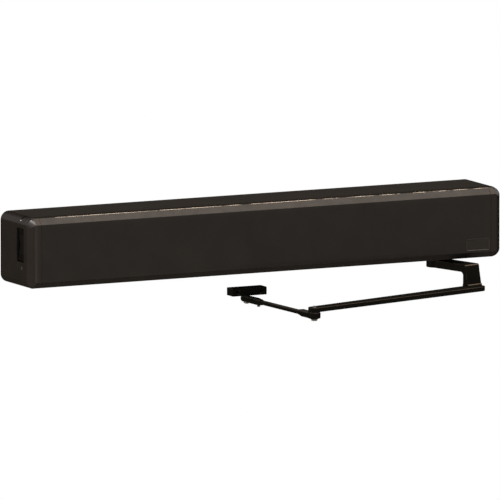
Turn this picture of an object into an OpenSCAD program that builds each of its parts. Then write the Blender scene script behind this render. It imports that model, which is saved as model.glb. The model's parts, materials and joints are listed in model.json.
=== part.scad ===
/* [Housing] */
// Length of the housing over both end caps
housing_length = 990.6; // [900:0.1:1300]
// Depth of the housing, from the wall to its front
housing_depth = 126.1; // [124:0.1:150]
// Height of the housing
housing_height = 134.4; // [132:0.1:160]
// Size of the 45 degree bevel along both front edges
edge_bevel = 12.8; // [8:0.1:16]
// Wall of the extruded back channel
channel_wall = 3; // [2.5:0.1:3.5]
// Wall of the front cover
cover_wall = 2; // [1.5:0.1:2.5]
// How far the lips of the cover reach back inside the channel
cover_lip = 13; // [10:0.5:15]
// Gap at the seams round the cover
cover_seam = 0.4; // [0.3:0.1:0.8]
// Length of each end cap along the housing
cap_length = 24.4; // [22:0.1:40]
// Wall of the end caps
cap_wall = 3; // [2.5:0.1:3.5]
// Width of the soft edge round the flat front
soft_edge_run = 11; // [6:0.1:11]
// How far the soft edge falls back
soft_edge_drop = 1.4; // [0.5:0.1:2]
// Run along the housing of the upright bevel of the end caps
cap_bevel_run = 13; // [10:0.1:13.4]
// Depth from the front of the upright bevel of the end caps
cap_bevel_depth = 13.3; // [11:0.1:16]
// Radius of the top and bottom outer edges of the end caps
cap_top_round = 17; // [12:0.1:17.5]
// Reach along the roof edge of the cut corners of the end caps
cap_cut = 15; // [14:0.1:16]

/* [Wall fixing] */
// Distance of the outer wall screws from the ends of the channel
wall_hole_inset = 29.9; // [29:0.1:30.5]
// Height between the two rows of wall screws
wall_hole_rise = 96; // [80:1:100]
// Radius of the wall screw holes
wall_hole_r = 3.6; // [2.5:0.1:4]
// Place of the middle pair of wall screws, left of the spindle
wall_mid_offset = 288; // [285:1:300]
// Radius of the conduit entry in the back
conduit_r = 11.1; // [8:0.1:12]

/* [Spindle and drive frame] */
// Distance of the spindle from the right end of the housing
spindle_from_end = 98.2; // [96:0.1:110]
// Distance of the spindle from the wall
spindle_from_wall = 46.7; // [46:0.1:50]
// Radius of the spindle
spindle_r = 10; // [8:0.1:11]
// Side of the square at the foot of the spindle
spindle_square = 14; // [11:0.1:14.5]
// Radius of the spindle bearings
bearing_r = 21; // [19:0.1:23]
// Running clearance of shafts in their bearings, on the radius
running_gap = 0.04; // [0.02:0.01:0.08]
// Wall of the back and side web of the drive frame
frame_wall = 8; // [6:0.1:8.5]
// Thickness of the two arms of the drive frame
frame_arm = 12; // [10:0.1:13]
// Gap above and below the drive frame inside the channel
frame_gap = 2.2; // [1:0.1:3]
// Reach of the arms of the drive frame from the wall
frame_reach = 95; // [94:0.5:97]

/* [Gears] */
// Module of all the teeth
gear_module = 2; // [1.9:0.05:2.1]
// Teeth of the bevel gear on the spindle
bevel_gear_teeth = 32; // [32]
// Teeth of the bevel pinion on the motor
bevel_pinion_teeth = 16; // [16]
// Teeth of the pinion that drives the rack
rack_pinion_teeth = 18; // [18]
// Slack taken off each flank of a tooth
flank_slack = 0.15; // [0.1:0.01:0.2]
// Thickness of the rack and its pinion
rack_height = 12; // [9:0.5:13]

/* [Gearmotor] */
// Height of the motor axis above the middle of the housing
motor_z = 17; // [16:0.1:18]
// Radius of the motor
motor_r = 38; // [30:0.1:38.5]
// Length of the motor
motor_length = 120; // [90:1:122]
// Radius of the gearhead
gearhead_r = 30; // [28:0.1:34]
// Length of the gearhead
gearhead_length = 55; // [45:1:58]
// Radius of the output shaft
output_shaft_r = 6; // [5:0.1:8]

/* [Return spring] */
// Height of the spring axis below the middle of the housing
spring_drop = 39; // [38.5:0.1:39.5]
// Outer radius of the spring tube
tube_r = 19; // [17.5:0.1:19.5]
// Wall of the spring tube
tube_wall = 2.5; // [1.5:0.1:3]
// Length of the spring tube
tube_length = 174; // [165:1:180]
// Radius of the spring wire
spring_wire_r = 2.6; // [1.5:0.1:3]
// Coils of the spring
spring_coils = 10; // [8:1:11]
// Stroke of the rack from closed to fully open
rack_stroke = 34.6; // [30:0.1:35]

/* [Arm] */
// Gap between the housing and the top of the arm
arm_gap = 6.8; // [6:0.1:12]
// Thickness of the upper arm
crank_thick = 14.1; // [12:0.1:16]
// Width of the upper arm and the drop
crank_width = 34.6; // [28:0.1:38]
// Radius of the hub on the spindle
hub_r = 20.6; // [18:0.1:22]
// Distance from the spindle to the middle of the main bar
crank_reach = 111.5; // [105:0.1:130]
// Height of the drop from the upper arm to the main bar
drop_height = 25.3; // [22:0.1:45]
// Thickness of the main bar
bar_thick = 8.6; // [6:0.1:12]
// Distance along the bar from the spindle to the elbow
bar_length = 416.5; // [380:0.5:440]
// Radius of the elbow end of the bar
elbow_r = 11.6; // [10:0.1:14]
// Radius of the eye of the forearm
eye_r = 11.7; // [10:0.1:12]
// Width of the foot of the drop, where it meets the bar
foot_width = 29; // [24:0.5:33]
// Angle of the main bar to the housing with the door closed
bar_angle = 15.92; // [12:0.01:20]
// Radius of the elbow pin and the shoe pin
pivot_r = 4; // [3:0.1:5]
// Radius of the heads of both pivot pins
pivot_head_r = 6.6; // [6.2:0.1:8]
// Radius of the forearm rod
rod_r = 4.4; // [3.5:0.1:4.8]
// Outer radius of the sleeve that swivels on the shoe
sleeve_r = 6.7; // [6.2:0.1:8]
// Length of the door shoe
shoe_length = 72; // [66:0.5:90]
// Depth of the door shoe from the door face
shoe_depth = 25.4; // [20:0.1:30]
// Height of the door shoe
shoe_height = 15; // [10:0.1:18]
// Distance between the two screw holes of the shoe
shoe_hole_pitch = 50; // [44:0.5:54]
// Radius of the screw holes of the shoe
shoe_hole_r = 2.7; // [2:0.1:3.2]
// Distance of the shoe pin to the left of the elbow
shoe_offset = 14.2; // [5:0.1:40]

/* [Switch] */
// Width of the switch plate in the left end cap
plate_width = 37.5; // [36:0.1:40]
// Height of the switch plate
plate_height = 96.5; // [92:0.1:98]
// Thickness of the switch plate
plate_thick = 1.5; // [1:0.1:2]
// Distance of the switch plate from the front of the housing
plate_from_front = 23.8; // [20:0.1:28]
// Width of the switch
switch_width = 31; // [28:0.1:32]
// Height of the switch
switch_height = 64.4; // [60:0.1:66]
// Depth of the switch body behind the plate
switch_depth = 22; // [20:0.5:25]

/* [Electronics] */
// Length of the power supply
supply_length = 160; // [120:1:165]
// Depth of the power supply
supply_depth = 42; // [30:1:60]
// Length of the control board
board_length = 240; // [200:1:245]
// Height of the control board
board_height = 100; // [80:1:104]

/* [Hidden] */

$fn = 64;
bronze = "#2a2622";
dark_bronze = "#1f1b18";
steel = "#9a9a98";
cast_grey = "#8b8d90";
black_plastic = "#18181a";

half_l = housing_length / 2;
half_h = housing_height / 2;
seam_x = half_l - cap_length;
inner_z = half_h - channel_wall;
roof_depth = housing_depth - edge_bevel;
lip_gap = 0.3;
overrun = 1;

spindle_x = half_l - spindle_from_end;
spindle_y = -spindle_from_wall;
frame_half_h = inner_z - frame_gap;
frame_left = spindle_x - 57.1;
frame_right = spindle_x + 35;
web_right = frame_left + frame_wall;
frame_front = channel_wall + frame_wall;

pinion_pitch_r = gear_module * bevel_pinion_teeth / 2;
gear_pitch_r = gear_module * bevel_gear_teeth / 2;
rack_pitch_r = gear_module * rack_pinion_teeth / 2;
addendum = 0.9 * gear_module;
dedendum = 1.2 * gear_module;
pressure_angle = 20;
bevel_taper = 2 / 3;

spring_z = -spring_drop;
rack_pitch_y = spindle_y - rack_pitch_r;
rack_bar = 12;
rack_back_y = rack_pitch_y - dedendum - rack_bar;
rod_axis_y = rack_pitch_y - dedendum - rack_bar / 2;
bush_flange = 6;
bush_spigot = 5;
tube_right = frame_left - bush_flange;
tube_left = tube_right - tube_length;
plunger_right = tube_right - bush_spigot - 3;
plunger_thick = 8;
seat_left = tube_left + 26;
seat_thick = 6;
spring_left = seat_left + seat_thick;
spring_right = plunger_right - plunger_thick;
spring_guide_r = tube_r - tube_wall - 0.7;
spring_mean_r = tube_r - tube_wall - 1.4 - spring_wire_r;
rack_rod_r = 5.5;

arm_top = -half_h - arm_gap;
arm_bottom = arm_top - crank_thick;
hub_top = -frame_half_h - 0.6;
bar_top = arm_bottom - drop_height;
bar_bottom = bar_top - bar_thick;
bar_end_r = crank_width / 2;
socket_floor = hub_top - 14;
counterbore_top = socket_floor - 2.7;
arm_turn = bar_angle - 90;
elbow_x = spindle_x + crank_reach * sin(bar_angle) - bar_length * cos(bar_angle);
elbow_y = spindle_y - crank_reach * cos(bar_angle) - bar_length * sin(bar_angle);
washer_thick = 0.8;
pivot_gap = 0.3;
eye_top = bar_bottom - washer_thick - pivot_gap;
eye_height = 11.5;
eye_bottom = eye_top - eye_height;
rod_z = eye_top - eye_height / 2 - 0.7;
fitting_r = bar_bottom - pivot_gap - rod_z;
shoe_x = elbow_x - shoe_offset;
shoe_y = -shoe_depth / 2;
rod_span = norm([shoe_offset, shoe_y - elbow_y]);
rod_turn = atan2(shoe_y - elbow_y, -shoe_offset);
collar_r = sleeve_r + 0.4;
shoe_bottom = rod_z + collar_r + pivot_gap;
head_height = 4.4;
collar_start = rod_span - 58;
collar_length = 29;
sleeve_start = collar_start + collar_length;
sleeve_end = rod_span + 14;

plate_y = -housing_depth + plate_from_front + plate_width / 2;
plate_z = 1;
switch_z = plate_z + plate_height / 2 - 3.8 - switch_height / 2;
plate_face = -half_l + 0.2;
switch_face = -half_l + 2.2;
rocker_pivot_x = switch_face + 11;
rocker_pin_r = 2;
switch_wall = 1.5;

// An outline in depth and height, extruded along the housing
module along_x(start, length) {
    translate([start, 0, 0]) rotate([90, 0, 90]) linear_extrude(length) children();
}

// An outline in length and height, extruded from a plane towards the front
module towards_front(start, length) {
    translate([0, start, 0]) rotate([90, 0, 0]) linear_extrude(length) children();
}

// A round bar along the housing
module x_cylinder(start, length, y, z, r) {
    translate([start, y, z]) rotate([0, 90, 0]) cylinder(h = length, r = r);
}

// A round bar from a plane towards the front
module front_cylinder(x, start, length, z, r) {
    translate([x, start, z]) rotate([90, 0, 0]) cylinder(h = length, r = r);
}

// A screw that stands in the back of the housing with its head to the front
module back_screw(x, z, face, shank_r, shank_length, head_r, head_height) {
    front_cylinder(x, -face + shank_length, shank_length, z, shank_r);
    difference() {
        front_cylinder(x, -face, head_height, z, head_r);
        front_cylinder(x, -face - head_height + 1.2, 2, z, head_r * 0.45, $fn = 6);
    }
}

// A hollow round piece standing on the Z axis
module ring(bottom, height, outer_r, inner_r) {
    translate([0, 0, bottom]) difference() {
        cylinder(h = height, r = outer_r);
        translate([0, 0, -overrun]) cylinder(h = height + 2 * overrun, r = inner_r);
    }
}

// Points of a closed outline, listed anticlockwise, each drawn in by an inset
function drawn_in(points, inset) = [
    for (k = [0:len(points) - 1]) let (
        here = points[k],
        before = here - points[(k + len(points) - 1) % len(points)],
        after = points[(k + 1) % len(points)] - here,
        n1 = [before[1], -before[0]] / norm(before),
        n2 = [after[1], -after[0]] / norm(after)
    ) here - inset * (n1 + n2) / (1 + n1 * n2)
];

// Points of the soft edge, as distance along the face and distance behind it
soft_turn = 2 * atan(soft_edge_drop / soft_edge_run);
soft_r = soft_edge_run / sin(soft_turn);
soft_edge = [
    for (k = [0:4]) let (turn = soft_turn * k / 4)
        [soft_r * sin(turn) - soft_edge_run, soft_r * (1 - cos(turn))]
];

// Section of the housing in depth and height: roof, soft edge, bevel, soft edge and flat, above and below
upper_front = concat(
    [for (k = [0:4]) [-roof_depth - soft_edge[k][0], half_h - soft_edge[k][1]]],
    [for (k = [4:-1:0]) [-housing_depth + soft_edge[k][1], half_h - edge_bevel + soft_edge[k][0]]]
);
lower_front = [for (k = [9:-1:0]) [upper_front[k][0], -upper_front[k][1]]];
housing_points = concat([[0, -half_h], [0, half_h]], upper_front, lower_front);

// End of the housing seen from above: soft edge, curve, upright bevel and end face
crease_turn = 21;
corner_turn = 47;
corner_r = 13.4;
plan_points = concat(
    [[0, 0], [0, -housing_depth]],
    [for (k = [0:4]) [half_l - cap_bevel_run + soft_edge[k][0], -housing_depth + soft_edge[k][1]]],
    [for (k = [1:4]) let (turn = crease_turn + (corner_turn - crease_turn) * k / 4) [
        half_l - cap_bevel_run + corner_r * (sin(turn) - sin(crease_turn)),
        -housing_depth + soft_edge_drop + corner_r * (cos(crease_turn) - cos(turn))
    ]],
    [[half_l, -housing_depth + cap_bevel_depth], [half_l, 0]]
);

// Everything that lies inside the rounded end of the housing, seen from the front
module cap_elevation(inset) {
    r = cap_top_round - inset;
    end = half_l - inset;
    top = half_h - inset;
    translate([0, -top]) square([end - r, 2 * top]);
    translate([0, -top + r]) square([end, 2 * (top - r)]);
    for (side = [-1, 1]) translate([end - r, side * (top - r)]) circle(r = r);
}

// Flat cut that takes off the corner between the upper bevel and the upright bevel
module corner_cut(inset) {
    at_front = [half_l - cap_bevel_run, -housing_depth + soft_edge_drop, half_h - edge_bevel];
    at_roof = [half_l - cap_cut, -roof_depth, half_h - soft_edge_drop];
    at_end = [half_l, -housing_depth + cap_bevel_depth, half_h - cap_top_round];
    outward = cross(at_end - at_front, at_roof - at_front);
    n = outward / norm(outward);
    translate(at_front - (inset + 0.2) * n) rotate([0, acos(n[2]), atan2(n[1], n[0])])
        translate([-60, -60, 0]) cube([120, 120, 60]);
}

module cap_form(inset, start) {
    difference() {
        intersection() {
            along_x(start, half_l - start) polygon(drawn_in(housing_points, inset));
            translate([0, 0, -half_h]) linear_extrude(housing_height) polygon(drawn_in(plan_points, inset));
            towards_front(0, housing_depth) cap_elevation(inset);
        }
        for (side = [0, 1]) mirror([0, 0, side]) corner_cut(inset);
    }
}

cap_lug_length = 20;
cap_lug_thick = 3;
cap_lug_z = 40;

// Right end cap, with two lugs that lie on the back of the channel
module cap_shell() {
    difference() {
        union() {
            difference() {
                cap_form(0, seam_x);
                cap_form(cap_wall, seam_x - overrun);
            }
            for (side = [-1, 1])
                translate([seam_x - cap_lug_length, -channel_wall - cap_lug_thick, side * cap_lug_z - 8])
                    cube([cap_lug_length + 10, cap_lug_thick + max(0, channel_wall - cap_wall), 16]);
        }
        for (side = [-1, 1])
            front_cylinder(seam_x - cap_lug_length / 2, overrun, 2 * (channel_wall + cap_lug_thick),
                side * cap_lug_z, 2.5);
    }
}

module back_channel() {
    w = channel_wall;
    depth = roof_depth - cover_seam;
    roof = concat([[0, half_h]], [for (k = [0:3]) upper_front[k]], [[-depth, half_h - soft_edge_drop]]);
    floor = [for (k = [len(roof) - 1:-1:0]) [roof[k][0], -roof[k][1]]];
    color(bronze) difference() {
        along_x(-seam_x, 2 * seam_x) polygon(concat(
            roof, [[-depth, inner_z], [-w, inner_z], [-w, -inner_z], [-depth, -inner_z]], floor
        ));
        for (side = [-1, 1]) {
            for (x = [-seam_x + wall_hole_inset, seam_x - wall_hole_inset, spindle_x - wall_mid_offset])
                front_cylinder(x, overrun, w + 2 * overrun, side * wall_hole_rise / 2, wall_hole_r);
            for (x = [-seam_x, seam_x])
                front_cylinder(x - sign(x) * cap_lug_length / 2, overrun, w + 2 * overrun,
                    side * cap_lug_z, 2.5);
        }
        front_cylinder(-seam_x + wall_hole_inset, overrun, w + 2 * overrun, 0, conduit_r);
        translate([spindle_x, spindle_y, -half_h - overrun]) cylinder(h = w + 2 * overrun, r = hub_r + 3);
    }
}

module right_end_cap() {
    color(bronze) cap_shell();
}

module left_end_cap() {
    color(bronze) difference() {
        mirror([1, 0, 0]) cap_shell();
        translate([-half_l - overrun, plate_y - plate_width / 2 - 0.2, plate_z - plate_height / 2 - 0.2])
            cube([overrun + 0.2 + plate_thick, plate_width + 0.4, plate_height + 0.4]);
        translate([-half_l - overrun, plate_y - switch_width / 2, switch_z - switch_height / 2])
            cube([cap_wall + 2 * overrun, switch_width, switch_height]);
        x_cylinder(-half_l, 2 * cap_wall, plate_screw_y, plate_screw_z, plate_screw_r);
        front_slot();
    }
}

// Pry slot across the top rounding of the left end cap
module front_slot() {
    slot_from_front = 44.4;
    slot_width = 4.5;
    translate([-half_l + 3, -housing_depth + slot_from_front - slot_width / 2, half_h - 6.5])
        rotate([0, -22, 0]) cube([13, slot_width, 2.2]);
}

module end_cap_screws() {
    color(steel) for (side = [-1, 1]) for (x = [-seam_x, seam_x])
        back_screw(x - sign(x) * cap_lug_length / 2, side * cap_lug_z, channel_wall + cap_lug_thick,
            2.5, channel_wall + cap_lug_thick, 4.6, 2.8);
}

module switch_plate() {
    color(bronze) translate([plate_face, 0, 0]) difference() {
        translate([0, plate_y - plate_width / 2, plate_z - plate_height / 2])
            cube([plate_thick, plate_width, plate_height]);
        translate([-overrun, plate_y - switch_width / 2, switch_z - switch_height / 2])
            cube([plate_thick + 2 * overrun, switch_width, switch_height]);
        translate([0, plate_screw_y, plate_screw_z]) countersunk(plate_thick + overrun);
    }
}

plate_screw_y = -housing_depth + 35.5;
plate_screw_z = plate_z - 30.5;
plate_screw_r = 1.8;

// Countersunk shape that points along +X
module countersunk(length) {
    head_r = plate_screw_r + 1.2;
    rotate([0, 90, 0]) {
        cylinder(h = 1.2, r1 = head_r, r2 = plate_screw_r);
        cylinder(h = length, r = plate_screw_r);
    }
}

module plate_screw() {
    color(steel) translate([plate_face, plate_screw_y, plate_screw_z]) difference() {
        countersunk(6);
        x_cylinder(-overrun, overrun + 0.8, 0, 0, 1.3, $fn = 6);
    }
}

module switch_body() {
    inner_w = switch_width - 2 * switch_wall;
    inner_h = switch_height - 2;
    color(black_plastic) difference() {
        translate([switch_face, plate_y - switch_width / 2, switch_z - switch_height / 2])
            cube([switch_depth, switch_width, switch_height]);
        translate([switch_face - overrun, plate_y - inner_w / 2, switch_z - inner_h / 2])
            cube([switch_depth - 3 + overrun, inner_w, inner_h]);
        front_cylinder(rocker_pivot_x, plate_y + switch_width, 2 * switch_width, switch_z,
            rocker_pin_r + running_gap);
    }
}

// Two-armed rocker, pivoted at its middle, with grip ribs at both ends
module mode_rocker() {
    half = switch_height / 2 - 2.6;
    width = switch_width - 2 * switch_wall - 0.8;
    dip = 3.4;
    edge = 1.2;
    face = switch_face - rocker_pivot_x + edge;
    color("#26241f") translate([rocker_pivot_x, 0, switch_z]) {
        towards_front(plate_y + width / 2, width) difference() {
            polygon([
                [face, -half], [face + dip, 0], [face, half], [-5, half],
                [-1, 10], [3, 5], [3, -5], [-1, -10], [-5, -half]
            ]);
            for (end = [-1, 1]) for (k = [0:2])
                translate([face + 0.9 + 0.35 * k, end * (half - 4 - 3 * k)]) square([1.6, 1.2], center = true);
        }
        front_cylinder(0, plate_y + switch_width / 2, switch_width, 0, rocker_pin_r);
    }
}

// Front cover: a front with soft edges, two bevels and lips that slide inside the channel
module front_cover() {
    lip_top = inner_z - lip_gap;
    lip_under = lip_top - cover_wall;
    lip_back = -roof_depth + cover_lip;
    inside = drawn_in(housing_points, cover_wall);
    bevel_inside = inside[7][0] + lip_under - inside[7][1];
    upper = concat(
        [
            upper_front[4], [-roof_depth, lip_top], [lip_back, lip_top], [lip_back, lip_under],
            [bevel_inside, lip_under]
        ],
        [for (k = [7:11]) inside[k]]
    );
    lower = [for (k = [len(upper) - 1:-1:0]) [upper[k][0], -upper[k][1]]];
    outside = [for (k = [16:-1:7]) housing_points[k]];
    color(bronze) along_x(-seam_x + cover_seam, 2 * (seam_x - cover_seam))
        polygon(concat(upper, lower, outside));
}

// Spring steel clips that grip the lips of the cover
module cover_clips() {
    strip = 1.2;
    clip_w = 20;
    outer_x = seam_x * 7 / 11;
    lip_back = -roof_depth + cover_lip;
    grip_z = inner_z - lip_gap - cover_wall - 0.4;
    color(steel) for (side = [0, 1]) mirror([0, 0, side])
        for (x = outer_x * [-1, -1 / 3, 1 / 3, 1]) along_x(x - clip_w / 2, clip_w) polygon([
            [lip_back + 12, inner_z], [lip_back + 0.6, inner_z], [lip_back + 0.6, grip_z],
            [lip_back - 8, grip_z], [lip_back - 9.5, grip_z - 1.5], [lip_back - 9.5, grip_z - strip - 1.5],
            [lip_back - 7.5, grip_z - strip], [lip_back + 0.6 + strip, grip_z - strip],
            [lip_back + 0.6 + strip, inner_z - strip], [lip_back + 12, inner_z - strip]
        ]);
}

frame_screw_z = 40;
frame_screw_x = [spindle_x - 41, spindle_x + 22];
pilot_r = 20;
pilot_length = 3;
gearhead_screw_r = 25;

module gearhead_screw_places() {
    for (turn = [45:90:315])
        translate([0, spindle_y + gearhead_screw_r * cos(turn), motor_z + gearhead_screw_r * sin(turn)])
            children();
}

// Cast frame that carries the spindle, the gearhead and the spring tube
module drive_frame() {
    h = frame_half_h;
    corner = 14;
    gusset = 26;
    guide_y = rack_back_y - 7;
    color(cast_grey) difference() {
        union() {
            translate([frame_left, -frame_front, -h]) cube([frame_right - frame_left, frame_wall, 2 * h]);
            for (bottom = [-h, h - frame_arm]) translate([0, 0, bottom]) linear_extrude(frame_arm) {
                translate([frame_left, -frame_reach])
                    square([frame_right - frame_left - corner, frame_reach - channel_wall]);
                translate([frame_left, -frame_reach + corner])
                    square([frame_right - frame_left, frame_reach - channel_wall - corner]);
                translate([frame_right - corner, -frame_reach + corner]) circle(r = corner);
            }
            translate([frame_left, -frame_reach, -h]) cube([frame_wall, frame_reach - channel_wall, 2 * h]);
            for (side = [0, 1]) mirror([0, 0, side]) along_x(frame_right - 6, 6) polygon([
                [-frame_front, h - frame_arm - gusset], [-frame_front, h - frame_arm],
                [-frame_front - 8, h - frame_arm], [-frame_front - 3, h - frame_arm - gusset]
            ]);
        }
        translate([spindle_x, spindle_y, -h - overrun]) cylinder(h = 2 * (h + overrun), r = bearing_r);
        x_cylinder(frame_left - overrun, pilot_length + overrun, spindle_y, motor_z, pilot_r);
        x_cylinder(frame_left, frame_wall + overrun, spindle_y, motor_z, output_shaft_r + 6);
        gearhead_screw_places() x_cylinder(frame_left - overrun, frame_wall + 2 * overrun, 0, 0, 2.6);
        translate([frame_left - overrun, rack_back_y - 2, spring_z - rack_height / 2 - 2])
            cube([frame_wall + 2 * overrun, rack_bar + dedendum + addendum + 4, rack_height + 4]);
        for (x = frame_screw_x) for (side = [-1, 1])
            front_cylinder(x, 0, frame_front + overrun, side * frame_screw_z, 3);
        for (x = guide_screw_x)
            translate([x, guide_y, -h - overrun]) cylinder(h = frame_arm + 2 * overrun, r = 2.5);
        for (turn = [closed_stop_turn, open_stop_turn])
            translate([spindle_x + stop_r * cos(turn), spindle_y + stop_r * sin(turn), h - frame_arm - overrun])
                cylinder(h = frame_arm + 2 * overrun, r = stop_pin_r);
    }
}

module drive_frame_screws() {
    color(steel) for (x = frame_screw_x) for (side = [-1, 1])
        back_screw(x, side * frame_screw_z, frame_front, 3, frame_wall, 5, 4);
}

// Ball bearing, drawn as its two races and a shield between them
module bearing() {
    inner = spindle_r + running_gap;
    race = (bearing_r - inner) / 4;
    dish = 0.8;
    rotate_extrude() polygon([
        [inner, 0], [inner + race, 0], [inner + race, dish], [bearing_r - race, dish], [bearing_r - race, 0],
        [bearing_r, 0], [bearing_r, frame_arm], [bearing_r - race, frame_arm],
        [bearing_r - race, frame_arm - dish], [inner + race, frame_arm - dish], [inner + race, frame_arm],
        [inner, frame_arm]
    ]);
}

module upper_bearing() {
    color(steel) translate([spindle_x, spindle_y, frame_half_h - frame_arm]) bearing();
}

module lower_bearing() {
    color(steel) translate([spindle_x, spindle_y, -frame_half_h]) bearing();
}

module spindle() {
    foot = socket_floor + 0.4;
    color(steel) translate([spindle_x, spindle_y, 0]) difference() {
        union() {
            translate([0, 0, hub_top + 0.3]) cylinder(h = frame_half_h - hub_top - 0.3, r = spindle_r);
            translate([0, 0, foot]) rotate([0, 0, arm_turn])
                translate([-spindle_square / 2, -spindle_square / 2, 0])
                cube([spindle_square, spindle_square, hub_top + 0.5 - foot]);
        }
        translate([0, 0, foot - overrun]) cylinder(h = 20 + overrun, r = 4);
        translate([0, 0, frame_half_h - 6]) cylinder(h = 7, r1 = 0.5, r2 = 4);
    }
}

module retaining_rings() {
    thick = 1.5;
    inner_face = frame_half_h - frame_arm;
    color(steel) translate([spindle_x, spindle_y, 0]) {
        ring(inner_face - 0.3 - thick, thick, spindle_r + 3.5, spindle_r);
        ring(-inner_face + 0.3, thick, spindle_r + 3.5, spindle_r);
    }
}

function involute(angle) = tan(angle) * 180 / PI - angle;

// Half the angle that a tooth spans at a height above its pitch line
function tooth_half(teeth, cone, height) =
    let (
        pitch_r = gear_module * teeth / 2,
        virtual_r = pitch_r / cos(cone),
        base_r = virtual_r * cos(pressure_angle),
        r = max(virtual_r + height, base_r),
        half = 90 * cos(cone) / teeth + involute(pressure_angle) - involute(acos(base_r / r)),
        arc = r * half * PI / 180 - flank_slack
    ) arc / (pitch_r + height * cos(cone)) * 180 / PI;

// Radius of a point of a tooth in the plane of the large end of a gear
function tooth_radius(teeth, cone, height) =
    let (pitch_r = gear_module * teeth / 2)
    cone == 0 ? pitch_r + height
              : pitch_r / tan(cone) * tan(cone + atan(height * sin(cone) / pitch_r));

// Outline of a whole gear. A cone of 0 gives a spur gear.
module gear_outline(teeth, cone) {
    steps = 5;
    heights = [for (k = [0:steps - 1]) -dedendum + k * (addendum + dedendum) / (steps - 1)];
    polygon([
        for (tooth = [0:teeth - 1]) for (k = [0:2 * steps - 1])
            let (
                rising = k < steps,
                height = heights[rising ? k : 2 * steps - 1 - k],
                turn = 360 / teeth * tooth + (rising ? -1 : 1) * tooth_half(teeth, cone, height),
                r = tooth_radius(teeth, cone, height)
            ) [r * cos(turn), r * sin(turn)]
    ]);
}

gear_cone = atan(bevel_gear_teeth / bevel_pinion_teeth);
gear_plane_z = motor_z - pinion_pitch_r;
gear_rim_r = gear_pitch_r + 1.6;

module bevel_gear() {
    rise = pinion_pitch_r * (1 - bevel_taper);
    drop = dedendum;
    spread = (pinion_pitch_r + drop) / pinion_pitch_r;
    back = 7;
    hub = 8;
    foot = -drop - back - hub;
    color("#77756f") translate([spindle_x, spindle_y, gear_plane_z]) difference() {
        union() {
            intersection() {
                translate([0, 0, -drop]) rotate([0, 0, 180 / bevel_gear_teeth])
                    linear_extrude(drop + rise, scale = bevel_taper / spread)
                    scale(spread) gear_outline(bevel_gear_teeth, gear_cone);
                translate([0, 0, -drop - overrun]) cylinder(h = drop + rise + 2 * overrun, r = gear_rim_r);
            }
            translate([0, 0, -drop - back]) cylinder(h = back, r = gear_rim_r);
            translate([0, 0, foot]) cylinder(h = hub, r = spindle_r + 7);
        }
        translate([0, 0, foot - overrun]) cylinder(h = rise - foot + 2 * overrun, r = spindle_r);
    }
}

module rack_pinion() {
    color("#77756f") translate([spindle_x, spindle_y, spring_z - rack_height / 2 - 1]) difference() {
        linear_extrude(rack_height + 2) gear_outline(rack_pinion_teeth, 0);
        translate([0, 0, -overrun]) cylinder(h = rack_height + 4, r = spindle_r);
    }
}

stop_r = 25;
stop_pin_r = 4;
stop_lug_turn = 35;
stop_sweep = 110;
stop_clear = 26.5;
closed_stop_turn = stop_lug_turn + stop_clear;
open_stop_turn = stop_lug_turn - stop_sweep - stop_clear;
stop_top = frame_half_h - frame_arm - 4;
stop_thick = 8;

// Cam on the spindle whose lug meets the two stop pins
module stop_cam() {
    lug = 12;
    color("#77756f") translate([spindle_x, spindle_y, stop_top - stop_thick]) difference() {
        union() {
            cylinder(h = stop_thick, r = spindle_r + 7);
            rotate([0, 0, stop_lug_turn]) translate([0, -lug / 2, 0]) cube([stop_r + 4, lug, stop_thick]);
        }
        translate([0, 0, -overrun]) cylinder(h = stop_thick + 2 * overrun, r = spindle_r);
    }
}

module stop_pins() {
    color(steel) for (turn = [closed_stop_turn, open_stop_turn])
        translate([spindle_x + stop_r * cos(turn), spindle_y + stop_r * sin(turn), stop_top - stop_thick])
            cylinder(h = frame_half_h - stop_top + stop_thick, r = stop_pin_r);
}

motor_right = frame_left - gearhead_length;
motor_left = motor_right - motor_length;

module motor_body() {
    color("#2b2d30") difference() {
        x_cylinder(motor_left, motor_length, spindle_y, motor_z, motor_r);
        for (x = [motor_left + 8, motor_right - 10]) translate([x, spindle_y, motor_z]) rotate([0, 90, 0])
            ring(0, 2, motor_r + overrun, motor_r - 1);
    }
}

module motor_rear_cover() {
    length = 16;
    color(black_plastic) difference() {
        x_cylinder(motor_left - length, length, spindle_y, motor_z, motor_r - 6);
        x_cylinder(motor_left - length - overrun, 3 + overrun, spindle_y, motor_z, motor_r - 14);
    }
}

module gearhead() {
    bore_depth = 20;
    color(cast_grey) difference() {
        union() {
            x_cylinder(motor_right, gearhead_length, spindle_y, motor_z, gearhead_r);
            x_cylinder(motor_right, 6, spindle_y, motor_z, motor_r - 3);
            x_cylinder(frame_left, pilot_length, spindle_y, motor_z, pilot_r);
        }
        x_cylinder(frame_left - bore_depth, bore_depth + pilot_length + overrun, spindle_y, motor_z,
            output_shaft_r + running_gap);
        gearhead_screw_places() x_cylinder(frame_left - 16, 16 + overrun, 0, 0, 2.5);
    }
}

module gearhead_screws() {
    color(steel) gearhead_screw_places() {
        x_cylinder(frame_left - 14, 14 + frame_wall, 0, 0, 2.5);
        difference() {
            x_cylinder(web_right, 4, 0, 0, 4.2);
            x_cylinder(web_right + 2, 2 + overrun, 0, 0, 2, $fn = 6);
        }
    }
}

pinion_large_x = spindle_x - gear_pitch_r;
pinion_small_x = spindle_x - gear_pitch_r * bevel_taper;

module output_shaft() {
    start = frame_left - 19;
    color(steel) x_cylinder(start, pinion_small_x - start, spindle_y, motor_z, output_shaft_r);
}

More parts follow.
